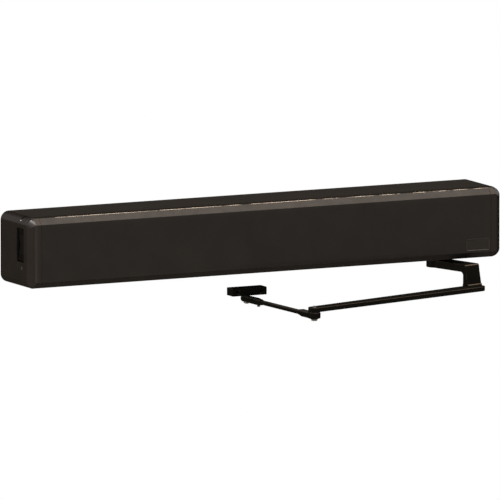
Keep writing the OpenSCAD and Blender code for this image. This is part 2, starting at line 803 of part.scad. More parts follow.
module bevel_pinion() {
    face = gear_pitch_r * (1 - bevel_taper);
    hub = 9;
    color("#77756f") difference() {
        union() {
            translate([pinion_large_x, spindle_y, motor_z]) rotate([90, 0, 90])
                linear_extrude(face, scale = bevel_taper) gear_outline(bevel_pinion_teeth, 90 - gear_cone);
            x_cylinder(pinion_large_x - hub, hub, spindle_y, motor_z, output_shaft_r + 5);
        }
        x_cylinder(pinion_large_x - hub - overrun, face + hub + 2 * overrun, spindle_y, motor_z, output_shaft_r);
    }
}

bracket_x = tube_left + 8;
bracket_thick = 6;
bracket_foot = 20;
bracket_screw_z = 53;

// Plate that holds the back of the motor and the far end of the spring tube
module support_bracket() {
    top = min(frame_half_h, motor_z + motor_r + 6);
    bottom = -frame_half_h;
    foot_x = bracket_x - bracket_foot;
    color(steel) difference() {
        union() {
            along_x(bracket_x, bracket_thick) intersection() {
                union() {
                    translate([spindle_y, motor_z]) circle(r = motor_r + 6);
                    translate([rod_axis_y, spring_z]) circle(r = tube_r + 4);
                    translate([spindle_y, bottom]) square([-spindle_y - channel_wall, top - bottom]);
                    translate([rod_axis_y, spring_z]) square([spindle_y - rod_axis_y, motor_z - spring_z]);
                }
                translate([-housing_depth, bottom]) square([housing_depth - channel_wall, top - bottom]);
            }
            for (side = [-1, 1]) translate([foot_x, -channel_wall - 4, side * bracket_screw_z - 8])
                cube([bracket_foot + 1, 4, 16]);
        }
        x_cylinder(bracket_x - overrun, bracket_thick + 2 * overrun, spindle_y, motor_z, motor_r);
        x_cylinder(bracket_x - overrun, bracket_thick + 2 * overrun, rod_axis_y, spring_z, tube_r);
        for (side = [-1, 1])
            front_cylinder(foot_x + 8, 0, channel_wall + 4 + overrun, side * bracket_screw_z, 2.5);
    }
}

module bracket_screws() {
    color(steel) for (side = [-1, 1])
        back_screw(bracket_x - bracket_foot + 8, side * bracket_screw_z, channel_wall + 4, 2.5, 4, 4.6, 3);
}

module spring_tube() {
    color("#3a3c3f") difference() {
        x_cylinder(tube_left, tube_length, rod_axis_y, spring_z, tube_r);
        x_cylinder(tube_left - overrun, tube_length + 2 * overrun, rod_axis_y, spring_z, tube_r - tube_wall);
    }
}

module tube_end_bush() {
    color(cast_grey) difference() {
        union() {
            x_cylinder(tube_right, bush_flange, rod_axis_y, spring_z, tube_r);
            x_cylinder(tube_right - bush_spigot, bush_spigot, rod_axis_y, spring_z, tube_r - tube_wall);
        }
        x_cylinder(tube_right - bush_spigot - overrun, bush_flange + bush_spigot + 2 * overrun, rod_axis_y,
            spring_z, rack_rod_r + running_gap);
    }
}

adjuster_r = 5;
plug_flange = 6;
plug_spigot = 8;

module tube_end_plug() {
    color(cast_grey) difference() {
        union() {
            x_cylinder(tube_left - plug_flange, plug_flange, rod_axis_y, spring_z, tube_r);
            x_cylinder(tube_left, plug_spigot, rod_axis_y, spring_z, tube_r - tube_wall);
        }
        x_cylinder(tube_left - plug_flange - overrun, plug_flange + plug_spigot + 2 * overrun, rod_axis_y,
            spring_z, adjuster_r);
    }
}

module spring_adjuster() {
    head = 8;
    stand = 10;
    start = tube_left - plug_flange - stand;
    color(steel) {
        x_cylinder(start, seat_left - start, rod_axis_y, spring_z, adjuster_r);
        x_cylinder(start - head, head, rod_axis_y, spring_z, 8.5, $fn = 6);
    }
}

module spring_seat() {
    color(steel) x_cylinder(seat_left, seat_thick, rod_axis_y, spring_z, spring_guide_r);
}

// Distance along the spring after a number of turns: one close coil at each end, even coils between
function spring_rise(turns) =
    let (
        close = 2 * spring_wire_r + 0.3,
        room = spring_right - spring_left - 2 * spring_wire_r,
        even = (room - 2 * close) / (spring_coils - 2)
    ) close * min(turns, 1) + even * max(0, min(turns, spring_coils - 1) - 1)
      + close * max(0, turns - spring_coils + 1);

function helix_point(turns) = [
    spring_left + spring_wire_r + spring_rise(turns),
    rod_axis_y + spring_mean_r * cos(360 * turns),
    spring_z + spring_mean_r * sin(360 * turns)
];

module return_spring() {
    sides = 8;
    rings = spring_coils * 16;
    points = [
        for (i = [0:rings]) let (
            turns = spring_coils * i / rings,
            centre = helix_point(turns),
            turn = 360 * turns,
            out = [0, cos(turn), sin(turn)]
        ) for (k = [0:sides - 1]) let (a = 360 * k / sides)
            centre + spring_wire_r * (cos(a) * out + sin(a) * [1, 0, 0])
    ];
    walls = [
        for (i = [0:rings - 1]) for (k = [0:sides - 1]) let (n = (k + 1) % sides)
            [i * sides + k, i * sides + n, (i + 1) * sides + n, (i + 1) * sides + k]
    ];
    first = [for (k = [sides - 1:-1:0]) k];
    last = [for (k = [0:sides - 1]) rings * sides + k];
    color("#5b5e62") polyhedron(points, concat(walls, [first, last]), convexity = 10);
}

module spring_plunger() {
    color(steel) difference() {
        x_cylinder(spring_right, plunger_thick, rod_axis_y, spring_z, spring_guide_r);
        x_cylinder(spring_right + 2, plunger_thick, rod_axis_y, spring_z, rack_rod_r);
    }
}

rack_left = web_right + rack_stroke - 4.6;
rack_right = spindle_x + 49;

module rack() {
    pitch = PI * gear_module;
    root_y = rack_pitch_y - dedendum;
    tip_half = pitch / 4 - flank_slack - addendum * tan(pressure_angle);
    root_half = pitch / 4 - flank_slack + dedendum * tan(pressure_angle);
    color("#77756f") {
        translate([0, 0, spring_z - rack_height / 2]) linear_extrude(rack_height) {
            translate([rack_left, rack_back_y]) square([rack_right - rack_left, rack_bar]);
            for (k = [-2:7]) translate([spindle_x + k * pitch, root_y]) polygon([
                [-root_half, -0.1], [root_half, -0.1], [root_half, 0],
                [tip_half, dedendum + addendum], [-tip_half, dedendum + addendum], [-root_half, 0]
            ]);
        }
        x_cylinder(spring_right + 2, rack_left - spring_right - 2 + overrun, rod_axis_y, spring_z, rack_rod_r);
    }
}

guide_screw_x = [spindle_x - 9, spindle_x + 9];
guide_left = spindle_x - 16;
guide_length = 32;

// Bearing block that holds the rack against its pinion
module rack_guide() {
    floor_z = -frame_half_h + frame_arm;
    rack_under = spring_z - rack_height / 2;
    back = rack_back_y - 13;
    top = spring_z + rack_height / 2 + 5;
    color("#b58a3c") difference() {
        union() {
            translate([guide_left, back, floor_z]) cube([guide_length, 12.7, top - floor_z]);
            translate([guide_left, back, floor_z]) cube([guide_length, 24, rack_under - 0.3 - floor_z]);
        }
        for (x = guide_screw_x)
            translate([x, rack_back_y - 7, floor_z - overrun]) cylinder(h = top - floor_z + 2 * overrun, r = 2.5);
    }
}

module guide_screws() {
    top = spring_z + rack_height / 2 + 5;
    color(steel) for (x = guide_screw_x) translate([x, rack_back_y - 7, 0]) {
        translate([0, 0, -frame_half_h + 2]) cylinder(h = top + frame_half_h - 2, r = 2.5);
        translate([0, 0, top]) difference() {
            cylinder(h = 4, r = 4.2);
            translate([0, 0, 2]) cylinder(h = 4, r = 2, $fn = 6);
        }
    }
}

terminal_left = -seam_x + 46.9;
terminal_length = 40;
supply_left = terminal_left + terminal_length + 10;
tray_left = supply_left + supply_length + 18;
tray_length = board_length + 20;
board_y = -channel_wall - 12;

module mains_terminal_block() {
    ways = 4;
    depth = 24;
    height = 22;
    pitch = terminal_length / ways;
    color("#d8d4c6") translate([terminal_left, -channel_wall, 0]) difference() {
        translate([0, -depth, -height / 2]) cube([terminal_length, depth, height]);
        for (k = [0:ways - 1]) {
            translate([pitch * (k + 0.5), overrun - depth + 8, 0]) rotate([90, 0, 0])
                cylinder(h = 10, r = 2.6);
            translate([pitch * (k + 0.5), -depth / 2, -height / 2 - overrun])
                cylinder(h = height + 2 * overrun, r = 2.2);
        }
        for (k = [1:ways - 1]) translate([pitch * k - 0.5, -depth - overrun, -height / 2 - overrun])
            cube([1, 7, height + 2 * overrun]);
    }
}

module power_supply() {
    height = 98;
    vents = 12;
    vent_height = height * 0.6;
    vent_inset = supply_length * 0.15;
    vent_pitch = (supply_length - 2 * vent_inset) / (vents - 1);
    color("#aeb0b2") difference() {
        translate([supply_left, -channel_wall - supply_depth, -height / 2])
            cube([supply_length, supply_depth, height]);
        for (k = [0:vents - 1])
            translate([supply_left + vent_inset + k * vent_pitch - 1.5, -channel_wall - supply_depth, -vent_height / 2])
                translate([0, -overrun, 0]) cube([3, 2 + overrun, vent_height]);
    }
}

module control_tray() {
    sheet = 1.5;
    flange = 10;
    margin = 6;
    height = board_height + 2 * margin;
    color("#b4b6b8") {
        along_x(tray_left, tray_length) translate([-channel_wall, 0]) polygon([
            [0, -height / 2], [0, height / 2], [-flange, height / 2], [-flange, height / 2 - sheet],
            [-sheet, height / 2 - sheet], [-sheet, -height / 2 + sheet], [-flange, -height / 2 + sheet],
            [-flange, -height / 2]
        ]);
        board_corners() translate([0, -channel_wall, 0]) rotate([90, 0, 0])
            cylinder(h = -board_y - channel_wall, r = 3);
    }
}

module board_corners() {
    for (x = [tray_left + 15, tray_left + tray_length - 15]) for (side = [-1, 1])
        translate([x, 0, side * (board_height / 2 - 5)]) children();
}

board_thick = 1.6;

module control_board() {
    color("#1f4a2c") difference() {
        translate([board_left, board_y - board_thick, -board_height / 2])
            cube([board_length, board_thick, board_height]);
        board_corners() translate([0, board_y + overrun, 0]) rotate([90, 0, 0]) cylinder(h = 4, r = 1.6);
    }
}

module board_screws() {
    color(steel) board_corners() {
        translate([0, board_y, 0]) rotate([90, 0, 0]) cylinder(h = board_thick, r = 1.6);
        translate([0, board_y - board_thick, 0]) rotate([90, 0, 0]) cylinder(h = 2, r = 2.8);
    }
}

board_face = board_y - board_thick;
board_left = tray_left + 10;

module board_relays() {
    relay = [16, 16, 20];
    start = board_left + board_length / 8;
    color("#1c5fa8") for (k = [0:3])
        translate([start + k * board_length / 11, board_face - relay[1], -board_height * 0.38]) cube(relay);
}

module board_capacitors() {
    color("#2a2a30") for (k = [0:2])
        translate([board_left + board_length * (0.58 + 0.11 * k), board_face, -board_height * 0.26])
            rotate([90, 0, 0]) cylinder(h = 30, r = 10);
}

module board_terminals() {
    ways = 8;
    pitch = 5.08;
    height = 14;
    depth = 12;
    start = board_left + board_length / 12;
    color("#3d8a4a") for (k = [0:3])
        translate([start + k * board_length * 5 / 24, board_face - depth, board_height / 2 - 8 - height])
            difference() {
                cube([ways * pitch, depth, height]);
                for (w = [0:ways - 1]) translate([(w + 0.5) * pitch, -overrun, height - 5]) rotate([-90, 0, 0])
                    cylinder(h = 5, r = 1.6);
            }
}

module heat_sink() {
    fins = 9;
    fin = 1.6;
    length = 60;
    depth = 26;
    pitch = (length - fin) / (fins - 1);
    height = 24;
    color("#9da0a3") translate([board_left + board_length * 0.58, board_face - depth, -board_height * 0.02]) {
        translate([0, depth - 4, 0]) cube([length, 4, height]);
        for (k = [0:fins - 1]) translate([k * pitch, 0, 0]) cube([fin, depth - 3, height]);
    }
}

// Places a piece of the arm: its own X runs outwards from the spindle, its own -Y along the bar
module on_arm() {
    translate([spindle_x, spindle_y, 0]) rotate([0, 0, arm_turn]) children();
}

// Places a piece of the forearm: its own X runs from the elbow to the shoe pin
module on_forearm() {
    translate([elbow_x, elbow_y, 0]) rotate([0, 0, rod_turn]) children();
}

// Forged crank: hub, upper arm and the drop that carries the main bar
module drop_crank() {
    front_foot = crank_reach - 2.5;
    front_head = front_foot - 12;
    drop_back = crank_reach - 21;
    fillet = 7;
    color(dark_bronze) on_arm() difference() {
        union() {
            translate([0, 0, arm_bottom]) cylinder(h = hub_top - arm_bottom, r = hub_r);
            intersection() {
                rotate([90, 0, 0]) translate([0, 0, -crank_width / 2]) linear_extrude(crank_width) difference() {
                    polygon([
                        [0, arm_top], [front_head - 2.5, arm_top], [front_head, arm_top - 2.5],
                        [front_foot, bar_top], [drop_back, bar_top], [drop_back, arm_bottom - fillet],
                        [drop_back - fillet, arm_bottom], [0, arm_bottom]
                    ]);
                    translate([drop_back - fillet, arm_bottom - fillet]) circle(r = fillet);
                }
                drop_taper();
            }
        }
        translate([-spindle_square / 2, -spindle_square / 2, socket_floor])
            cube([spindle_square, spindle_square, hub_top - socket_floor + overrun]);
        translate([0, 0, arm_bottom - overrun]) cylinder(h = arm_top - arm_bottom, r = 4.3);
        translate([0, 0, arm_bottom - overrun]) cylinder(h = counterbore_top - arm_bottom + overrun, r = 7.6);
    }
}

// Front view of the crank: as wide as the upper arm, then narrowing down the drop to its foot
module drop_taper() {
    wide = crank_width / 2 + 0.2;
    foot = foot_width / 2;
    along_x(-overrun, crank_reach + 2 * overrun) polygon([
        [-wide, arm_top + overrun], [-wide, arm_bottom], [-foot, bar_top - overrun],
        [foot, bar_top - overrun], [wide, arm_bottom], [wide, arm_top + overrun]
    ]);
}

module hub_washer() {
    color(steel) on_arm() ring(counterbore_top - 1.2, 1.2, 7.3, 4);
}

module hub_screw() {
    head_top = counterbore_top - 1.2;
    head = head_top - arm_bottom - 0.3;
    color(steel) on_arm() difference() {
        union() {
            translate([0, 0, head_top]) cylinder(h = 24, r = 4);
            translate([0, 0, head_top - head]) cylinder(h = head, r = 6.5);
        }
        translate([0, 0, head_top - head - overrun]) cylinder(h = 3.5 + overrun, r = 3.4, $fn = 6);
    }
}

// Flat bar that tapers from the crank to the elbow, with both ends round
module main_arm_bar() {
    end_shift = 4;
    lean = asin((bar_end_r - elbow_r) / (bar_length - end_shift));
    wide = bar_end_r + 0.02;
    narrow = elbow_r + 0.02;
    color(dark_bronze) on_arm() translate([crank_reach, 0, bar_bottom]) difference() {
        linear_extrude(bar_thick) {
            translate([0, -end_shift]) circle(r = bar_end_r);
            translate([0, -bar_length]) circle(r = elbow_r);
            polygon([
                [wide * cos(lean), -end_shift - wide * sin(lean)],
                [-wide * cos(lean), -end_shift - wide * sin(lean)],
                [-narrow * cos(lean), -bar_length - narrow * sin(lean)],
                [narrow * cos(lean), -bar_length - narrow * sin(lean)]
            ]);
        }
        translate([0, -bar_length, -overrun]) cylinder(h = bar_thick + 2 * overrun, r = pivot_r);
    }
}

module elbow_pin() {
    top = bar_top + 1.4;
    head_top = eye_bottom - pivot_gap;
    color(steel) translate([elbow_x, elbow_y, 0]) difference() {
        union() {
            translate([0, 0, head_top]) cylinder(h = top - head_top, r = pivot_r);
            translate([0, 0, head_top - head_height]) cylinder(h = head_height, r = pivot_head_r);
        }
        translate([0, 0, head_top - head_height - overrun]) cylinder(h = 2.4 + overrun, r = 3, $fn = 6);
    }
}

module elbow_washer() {
    color(steel) translate([elbow_x, elbow_y, 0]) ring(bar_bottom - washer_thick, washer_thick, 9.5, pivot_r);
}

rod_insertion = 41;

module forearm_rod() {
    neck = 10;
    shoulder = 6;
    barrel = 28;
    taper = 16;
    rod_end = collar_start + rod_insertion;
    color(dark_bronze) on_forearm() difference() {
        union() {
            translate([0, 0, eye_bottom]) cylinder(h = eye_height, r = eye_r);
            translate([neck, 0, rod_z]) rotate([0, 90, 0]) rotate_extrude() polygon([
                [0, 0], [fitting_r - 1.6, 0], [fitting_r, shoulder], [fitting_r, shoulder + barrel],
                [rod_r, shoulder + barrel + taper], [rod_r, rod_end - neck], [0, rod_end - neck]
            ]);
        }
        translate([0, 0, eye_bottom - overrun]) cylinder(h = eye_height + 2 * overrun, r = pivot_r + running_gap);
    }
}

rod_slack = 0.05;

// Sleeve that takes the end of the rod and swivels on the shoe pin
module pivot_sleeve() {
    bore_end = rod_span - pivot_r - 3.5;
    color(dark_bronze) on_forearm() difference() {
        union() {
            x_cylinder(sleeve_start, sleeve_end - sleeve_start - 2, 0, rod_z, sleeve_r);
            translate([sleeve_end - 2, 0, rod_z]) rotate([0, 90, 0])
                cylinder(h = 2, r1 = sleeve_r, r2 = sleeve_r - 2);
        }
        x_cylinder(sleeve_start - overrun, bore_end - sleeve_start + overrun, 0, rod_z, rod_r + rod_slack);
        translate([rod_span, 0, rod_z - 2 * sleeve_r]) cylinder(h = 4 * sleeve_r, r = pivot_r + running_gap);
    }
}

clamp_x = collar_start + 13;
clamp_r = 2;

module clamp_collar() {
    cone = 14;
    color(dark_bronze) on_forearm() difference() {
        union() {
            x_cylinder(collar_start + cone, collar_length - cone, 0, rod_z, collar_r);
            translate([collar_start, 0, rod_z]) rotate([0, 90, 0])
                cylinder(h = cone, r1 = rod_r + 1.2, r2 = collar_r);
        }
        x_cylinder(collar_start - overrun, collar_length + 2 * overrun, 0, rod_z, rod_r + rod_slack);
        translate([clamp_x, 0, rod_z - 2 * collar_r]) cylinder(h = 2 * collar_r, r = clamp_r);
    }
}

module clamp_screw() {
    tip = rod_z - rod_r - pivot_gap;
    head_top = rod_z - collar_r - 0.4;
    color(steel) on_forearm() translate([clamp_x, 0, 0]) difference() {
        union() {
            translate([0, 0, head_top]) cylinder(h = tip - head_top, r = clamp_r);
            translate([0, 0, head_top - 1.8]) cylinder(h = 1.8, r = clamp_r + 1);
        }
        translate([0, 0, head_top - 1.8 - overrun]) cylinder(h = 1.2 + overrun, r = 1.2, $fn = 6);
    }
}

module door_shoe() {
    color(dark_bronze) translate([shoe_x, 0, shoe_bottom]) difference() {
        translate([-shoe_length / 2, -shoe_depth, 0]) cube([shoe_length, shoe_depth, shoe_height]);
        for (side = [-1, 1]) {
            front_cylinder(side * shoe_hole_pitch / 2, overrun, shoe_depth + 2 * overrun, shoe_height / 2,
                shoe_hole_r);
            translate([side * shoe_hole_pitch / 2, -shoe_depth + 2, shoe_height / 2]) rotate([90, 0, 0])
                cylinder(h = 2.01, r1 = shoe_hole_r, r2 = shoe_hole_r + 2);
        }
        translate([0, shoe_y, -overrun]) cylinder(h = 9 + overrun, r = pivot_r);
    }
}

module shoe_pin() {
    head_top = rod_z - sleeve_r - pivot_gap;
    dome = 2.8;
    color(steel) translate([shoe_x, shoe_y, 0]) {
        translate([0, 0, head_top]) cylinder(h = shoe_bottom + 9 - head_top, r = pivot_r);
        translate([0, 0, head_top - dome]) rotate_extrude() intersection() {
            translate([0, (pivot_head_r * pivot_head_r + dome * dome) / (2 * dome)])
                circle(r = (pivot_head_r * pivot_head_r + dome * dome) / (2 * dome), $fn = 96);
            square([pivot_head_r, dome]);
        }
    }
}

back_channel();
left_end_cap();
right_end_cap();
end_cap_screws();
switch_plate();
switch_body();
mode_rocker();
plate_screw();
front_cover();
cover_clips();
drive_frame();
drive_frame_screws();
upper_bearing();
lower_bearing();
spindle();
retaining_rings();
bevel_gear();
rack_pinion();
stop_cam();
stop_pins();
motor_body();
motor_rear_cover();
gearhead();
gearhead_screws();
output_shaft();
bevel_pinion();
support_bracket();
bracket_screws();
spring_tube();
tube_end_bush();
tube_end_plug();
spring_seat();
spring_adjuster();
return_spring();
spring_plunger();
rack();
rack_guide();
guide_screws();
power_supply();
mains_terminal_block();
control_tray();
control_board();
board_relays();
board_capacitors();
board_terminals();
heat_sink();
board_screws();
drop_crank();
hub_screw();
hub_washer();
main_arm_bar();
elbow_pin();
elbow_washer();
forearm_rod();
pivot_sleeve();
clamp_collar();
clamp_screw();
door_shoe();
shoe_pin();
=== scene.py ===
import json
from contextlib import contextmanager
from math import atan2, cos, radians, sin

import bmesh
import bpy
from mathutils import Matrix, Vector


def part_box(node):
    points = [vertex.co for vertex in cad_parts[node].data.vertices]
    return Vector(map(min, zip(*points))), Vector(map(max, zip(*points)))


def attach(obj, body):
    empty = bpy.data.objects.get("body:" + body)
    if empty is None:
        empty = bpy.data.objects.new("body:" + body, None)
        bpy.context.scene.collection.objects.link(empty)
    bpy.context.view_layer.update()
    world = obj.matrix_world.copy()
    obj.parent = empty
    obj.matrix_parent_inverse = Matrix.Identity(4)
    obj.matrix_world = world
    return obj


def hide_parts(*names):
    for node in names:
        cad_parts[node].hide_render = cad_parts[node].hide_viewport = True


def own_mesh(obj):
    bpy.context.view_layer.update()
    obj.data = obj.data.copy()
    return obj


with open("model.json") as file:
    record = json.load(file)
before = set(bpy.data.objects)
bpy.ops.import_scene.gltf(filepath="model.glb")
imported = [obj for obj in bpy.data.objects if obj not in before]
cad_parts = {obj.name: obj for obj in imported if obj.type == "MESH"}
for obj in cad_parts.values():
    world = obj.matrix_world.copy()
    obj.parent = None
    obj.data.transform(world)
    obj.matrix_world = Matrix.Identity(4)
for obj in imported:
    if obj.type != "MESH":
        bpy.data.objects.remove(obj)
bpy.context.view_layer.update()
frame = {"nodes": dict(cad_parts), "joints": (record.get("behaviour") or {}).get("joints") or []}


# Back channel: the long extruded aluminium channel that is screwed to the wall and carries everything else.
# Its flanges show as the top of the housing. Dark bronze powder coat over the whole extrusion.

class Wire:
    """An output of a finish's nodes. Sums and products of wires add Math nodes to the finish."""

    def __init__(self, finish, socket):
        self.finish = finish
        self.socket = socket

    def maths(self, operation, *values):
        """The outcome of a Math node on these values."""
        return self.finish.node("ShaderNodeMath", {"operation": operation}, dict(enumerate(values)))

    def __add__(self, other):
        return self.maths("ADD", self, other)

    def __sub__(self, other):
        return self.maths("SUBTRACT", self, other)

    def __rsub__(self, other):
        return self.maths("SUBTRACT", other, self)

    def __mul__(self, other):
        return self.maths("MULTIPLY", self, other)

    def __abs__(self):
        return self.maths("ABSOLUTE", self)

    __radd__ = __add__
    __rmul__ = __mul__

    def most(self, other):
        """The greater of two values at each point."""
        return self.maths("MAXIMUM", self, other)

    def between(self, low, high):
        """0 below low, 1 above high, and a smooth step from one to the other."""
        return self.finish.node(
            "ShaderNodeMapRange", {"interpolation_type": "SMOOTHSTEP"},
            {"Value": self, "From Min": low, "From Max": high},
        )


class Finish:
    """A material in the making, or the world. Its patterns are measured in metres on the object."""

    def __init__(self, name, store=bpy.data.materials):
        self.owner = store.new(name)
        self.owner.use_nodes = True
        self.nodes = self.owner.node_tree.nodes
        self.links = self.owner.node_tree.links

    def node(self, kind, settings, inputs, output=0):
        """One node of any kind: its settings first, then the values or wires of its inputs."""
        made = self.nodes.new(kind)
        for name, value in settings.items():
            setattr(made, name, value)
        for name, value in inputs.items():
            self.plug(made.inputs[name], value)
        return Wire(self, made.outputs[output])

    def plug(self, socket, value):
        """Give a socket its value, or connect it to a wire."""
        if isinstance(value, Wire):
            self.links.new(value.socket, socket)
        else:
            socket.default_value = value

    def place(self, stretch=(1, 1, 1)):
        """The place of each point, drawn out or squeezed along the axes."""
        spot = self.node("ShaderNodeTexCoord", {}, {}, "Object")
        return self.node("ShaderNodeVectorMath", {"operation": "MULTIPLY"}, {0: spot, 1: stretch})

    def along(self, axis):
        """How far along an axis each point lies."""
        spot = self.node("ShaderNodeTexCoord", {}, {}, "Object")
        return self.node("ShaderNodeSeparateXYZ", {}, {"Vector": spot}, axis)

    def facing(self, axis):
        """How far the surface faces along an axis, from -1 to 1."""
        normal = self.node("ShaderNodeNewGeometry", {}, {}, "Normal")
        return self.node("ShaderNodeSeparateXYZ", {}, {"Vector": normal}, axis)

    def grain(self, size, detail, stretch=(1, 1, 1)):
        """Noise whose lumps have this size in metres, longer where stretch is below 1."""
        return self.node(
            "ShaderNodeTexNoise", {}, {"Vector": self.place(stretch), "Scale": 1 / size, "Detail": detail})

    def mix(self, amount, first, second):
        """The first colour where the amount is 0, and the second where it is 1. The node's colour sockets
        go by number, because it has several of each name."""
        return self.node("ShaderNodeMix", {"data_type": "RGBA"}, {0: amount, 6: first, 7: second}, 2)

    def shade(self, colour, amount):
        """A colour made lighter or darker."""
        tone = colour if isinstance(colour, Wire) else colour[:3]
        return self.node("ShaderNodeVectorMath", {"operation": "SCALE"}, {0: tone, "Scale": amount})

    def edges(self, reach):
        """Nearness to the edges of the piece, from 0 on its faces to 1 at a sharp edge."""
        rounded = self.node("ShaderNodeBevel", {"samples": 4}, {"Radius": reach})
        flat = self.node("ShaderNodeNewGeometry", {}, {}, "Normal")
        turn = self.node("ShaderNodeVectorMath", {"operation": "DOT_PRODUCT"}, {0: rounded, 1: flat}, "Value")
        return (1 - turn).between(0.02, 0.22)

    def relief(self, height, depth):
        """The height from 0 to 1 as a relief of this depth in metres."""
        return self.node("ShaderNodeBump", {}, {"Height": height, "Strength": 1.0, "Distance": depth})

    def surface(self, **sockets):
        """Set or connect the shader's sockets, and give the material."""
        for name, value in sockets.items():
            self.plug(self.nodes["Principled BSDF"].inputs[name.replace("_", " ")], value)
        return self.owner


bronze = (0.0218, 0.0186, 0.0160, 1)
bronze_sheen = 0.54
no_gloss = {"Specular_IOR_Level": 0, "Specular_Tint": (0.05, 0.05, 0.05, 1)}


def powder(coat):
    """What every powder coat has: clouds, the tone that they and fine specks give, and a fine pebble."""
    cloud = coat.grain(0.06, 3)
    speck = coat.grain(0.0016, 2)
    pebble = coat.grain(0.0007, 2) * 0.6 + speck * 0.4
    return cloud, 0.74 + 0.32 * cloud + 0.2 * speck, coat.relief(pebble, 0.00002)


def powder_coat(name, colour, worn, edge_wear_and_highlight, roughness, sheen=bronze_sheen, rubbed=0, wiped=0, painted_glint_at=None):
    """Dark powder coat: an even satin skin with a fine pebble, its edges mixed toward the worn colour, which
    is real wear on the housing and a painted highlight on the arm. If rubbed is set, the slopes that face
    upward take the worn colour too, as a painted highlight. Round a given point a light spot with less metal
    is painted as a highlight. Where it is wiped, its upper corners and the curves over its ends have a gloss."""
    coat = Finish(name)
    cloud, tone, pebble = powder(coat)
    wear_and_painted_highlight = coat.edges(0.0007) * coat.grain(0.007, 4).between(0.42, 0.62) * edge_wear_and_highlight
    if wiped:
        ends = abs(coat.facing("X")).between(0.05, 0.35)
        front = (0 - coat.facing("Y")).between(0.1, 0.4)
        rise = coat.facing("Z")
        curve = ends * (rise.between(0.1, 0.35) - rise.between(0.6, 0.95))
        coat.surface(Coat_Weight=curve * wiped * (0.3 + 0.7 * front), Coat_Roughness=0.3)
    if rubbed:
        rise = coat.facing("Z")
        # Painted highlight: the slopes that face upward take the worn colour where the overhead light would
        # catch them.
        painted_highlight_slopes = rise.between(0.35, 0.6) - rise.between(0.85, 0.97)
        wear_and_painted_highlight = wear_and_painted_highlight.most(painted_highlight_slopes * rubbed * (0.55 + 0.6 * coat.grain(0.009, 3)))
    metal = sheen + 0.3 * wear_and_painted_highlight
    # Painted highlight: a light spot with less metal round the given point.
    if painted_glint_at is not None:
        away = coat.node(
            "ShaderNodeVectorMath", {"operation": "DISTANCE"}, {0: coat.place(), 1: painted_glint_at}, "Value")
        bare = 1 - away.between(0.0022, 0.0032)
        wear_and_painted_highlight = wear_and_painted_highlight.most(bare)
        metal = metal - sheen * bare
    warmer = [part * change for part, change in zip(colour, (1.1, 1.0, 0.9))] + [1]
    return coat.surface(
        Base_Color=coat.mix(wear_and_painted_highlight, coat.shade(coat.mix(cloud, colour, warmer), tone), worn),
        Metallic=metal,
        Roughness=roughness - 0.05 + 0.1 * coat.grain(0.02, 2),
        Normal=pebble,
        **no_gloss,
    )


def take(piece):
    """Make one piece the only one that the next operators act on."""
    bpy.ops.object.select_all(action="DESELECT")
    piece.select_set(True)
    bpy.context.view_layer.objects.active = piece


@contextmanager
def editing(piece):
    """Edit mode on one piece, for the lines inside the with block."""
    take(piece)
    bpy.ops.object.mode_set(mode="EDIT")
    yield
    bpy.ops.object.mode_set(mode="OBJECT")


def pick(kind, test):
    """In edit mode, select only the faces, edges or points that pass the test."""
    mesh = bpy.context.edit_object.data
    bpy.ops.mesh.select_mode(type=kind)
    bpy.ops.mesh.select_all(action="DESELECT")
    shape = bmesh.from_edit_mesh(mesh)
    for part in {"FACE": shape.faces, "EDGE": shape.edges, "VERT": shape.verts}[kind]:
        if test(part):
            part.select_set(True)
    bmesh.update_edit_mesh(mesh)


def copy_mesh(mesh, name):
    """A new piece with a mesh of its own."""
    piece = bpy.data.objects.new(name, mesh.copy())
    bpy.context.scene.collection.objects.link(piece)
    return piece


def copy_node(node, name):
    """A free copy of a CAD node, its loose triangles joined into whole faces."""
    piece = copy_mesh(frame["nodes"][node].data, name)
    take(piece)
    bpy.ops.mesh.customdata_custom_splitnormals_clear()
    with editing(piece):
        bpy.ops.mesh.select_all(action="SELECT")
        bpy.ops.mesh.remove_doubles(threshold=0.000002)
        bpy.ops.mesh.dissolve_limited(angle_limit=radians(0.4))
    return piece


def anywhere(middle):
    return True


def round_edges(piece, radius, steps=2, sharper_than=28, where=anywhere):
    """Round the sharp edges, or only those whose middle passes the where test."""
    def sharp(edge):
        folded = len(edge.link_faces) == 2 and edge.calc_face_angle() > radians(sharper_than)
        return folded and where((edge.verts[0].co + edge.verts[1].co) / 2)

    with editing(piece):
        pick("EDGE", sharp)
        bpy.ops.mesh.bevel(offset=radius, segments=steps, affect="EDGES", clamp_overlap=True)


def even_out(piece, angle=32):
    """Smooth shading over curves, with flat faces kept flat right up to their rounded edges."""
    take(piece)
    bpy.ops.object.shade_smooth_by_angle(angle=radians(angle))
    weighted = piece.modifiers.new("flat faces", "WEIGHTED_NORMAL")
    weighted.keep_sharp = True
    bpy.ops.object.modifier_apply(modifier=weighted.name)


def finished(piece, material, body, slot, *nodes):
    """Coat a finished piece, hang it on the body that carries it, and hide the CAD nodes that it stands for.
    """
    piece.data.materials.clear()
    piece.data.materials.append(material)
    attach(piece, body)
    if nodes:
        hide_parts(*nodes)


def dress(node, name, edge_radius, material, body, slot):
    """A CAD node's shape as it is, with its edges rounded and its finish on."""
    piece = copy_node(node, name)
    round_edges(piece, edge_radius)
    even_out(piece)
    finished(piece, material, body, slot, node)


housing_finish = powder_coat("bronze powder coat", bronze, (0.12, 0.10, 0.085, 1), edge_wear_and_highlight=0.15, roughness=0.4)
dress("back_channel", "channel_extrusion", 0.0004, housing_finish, "operator", "housing_paint")


# End caps: two die-cast caps in the same powder coat, screwed to the back of the channel by hidden lugs.
# At each front corner the two bevels meet in a fan, whose rays run from the corner of the front to the
# rounded edge of the end. The left cap has a slot for prying it off, and beside it a light spot is painted
# as a highlight on the slot's lower edge.

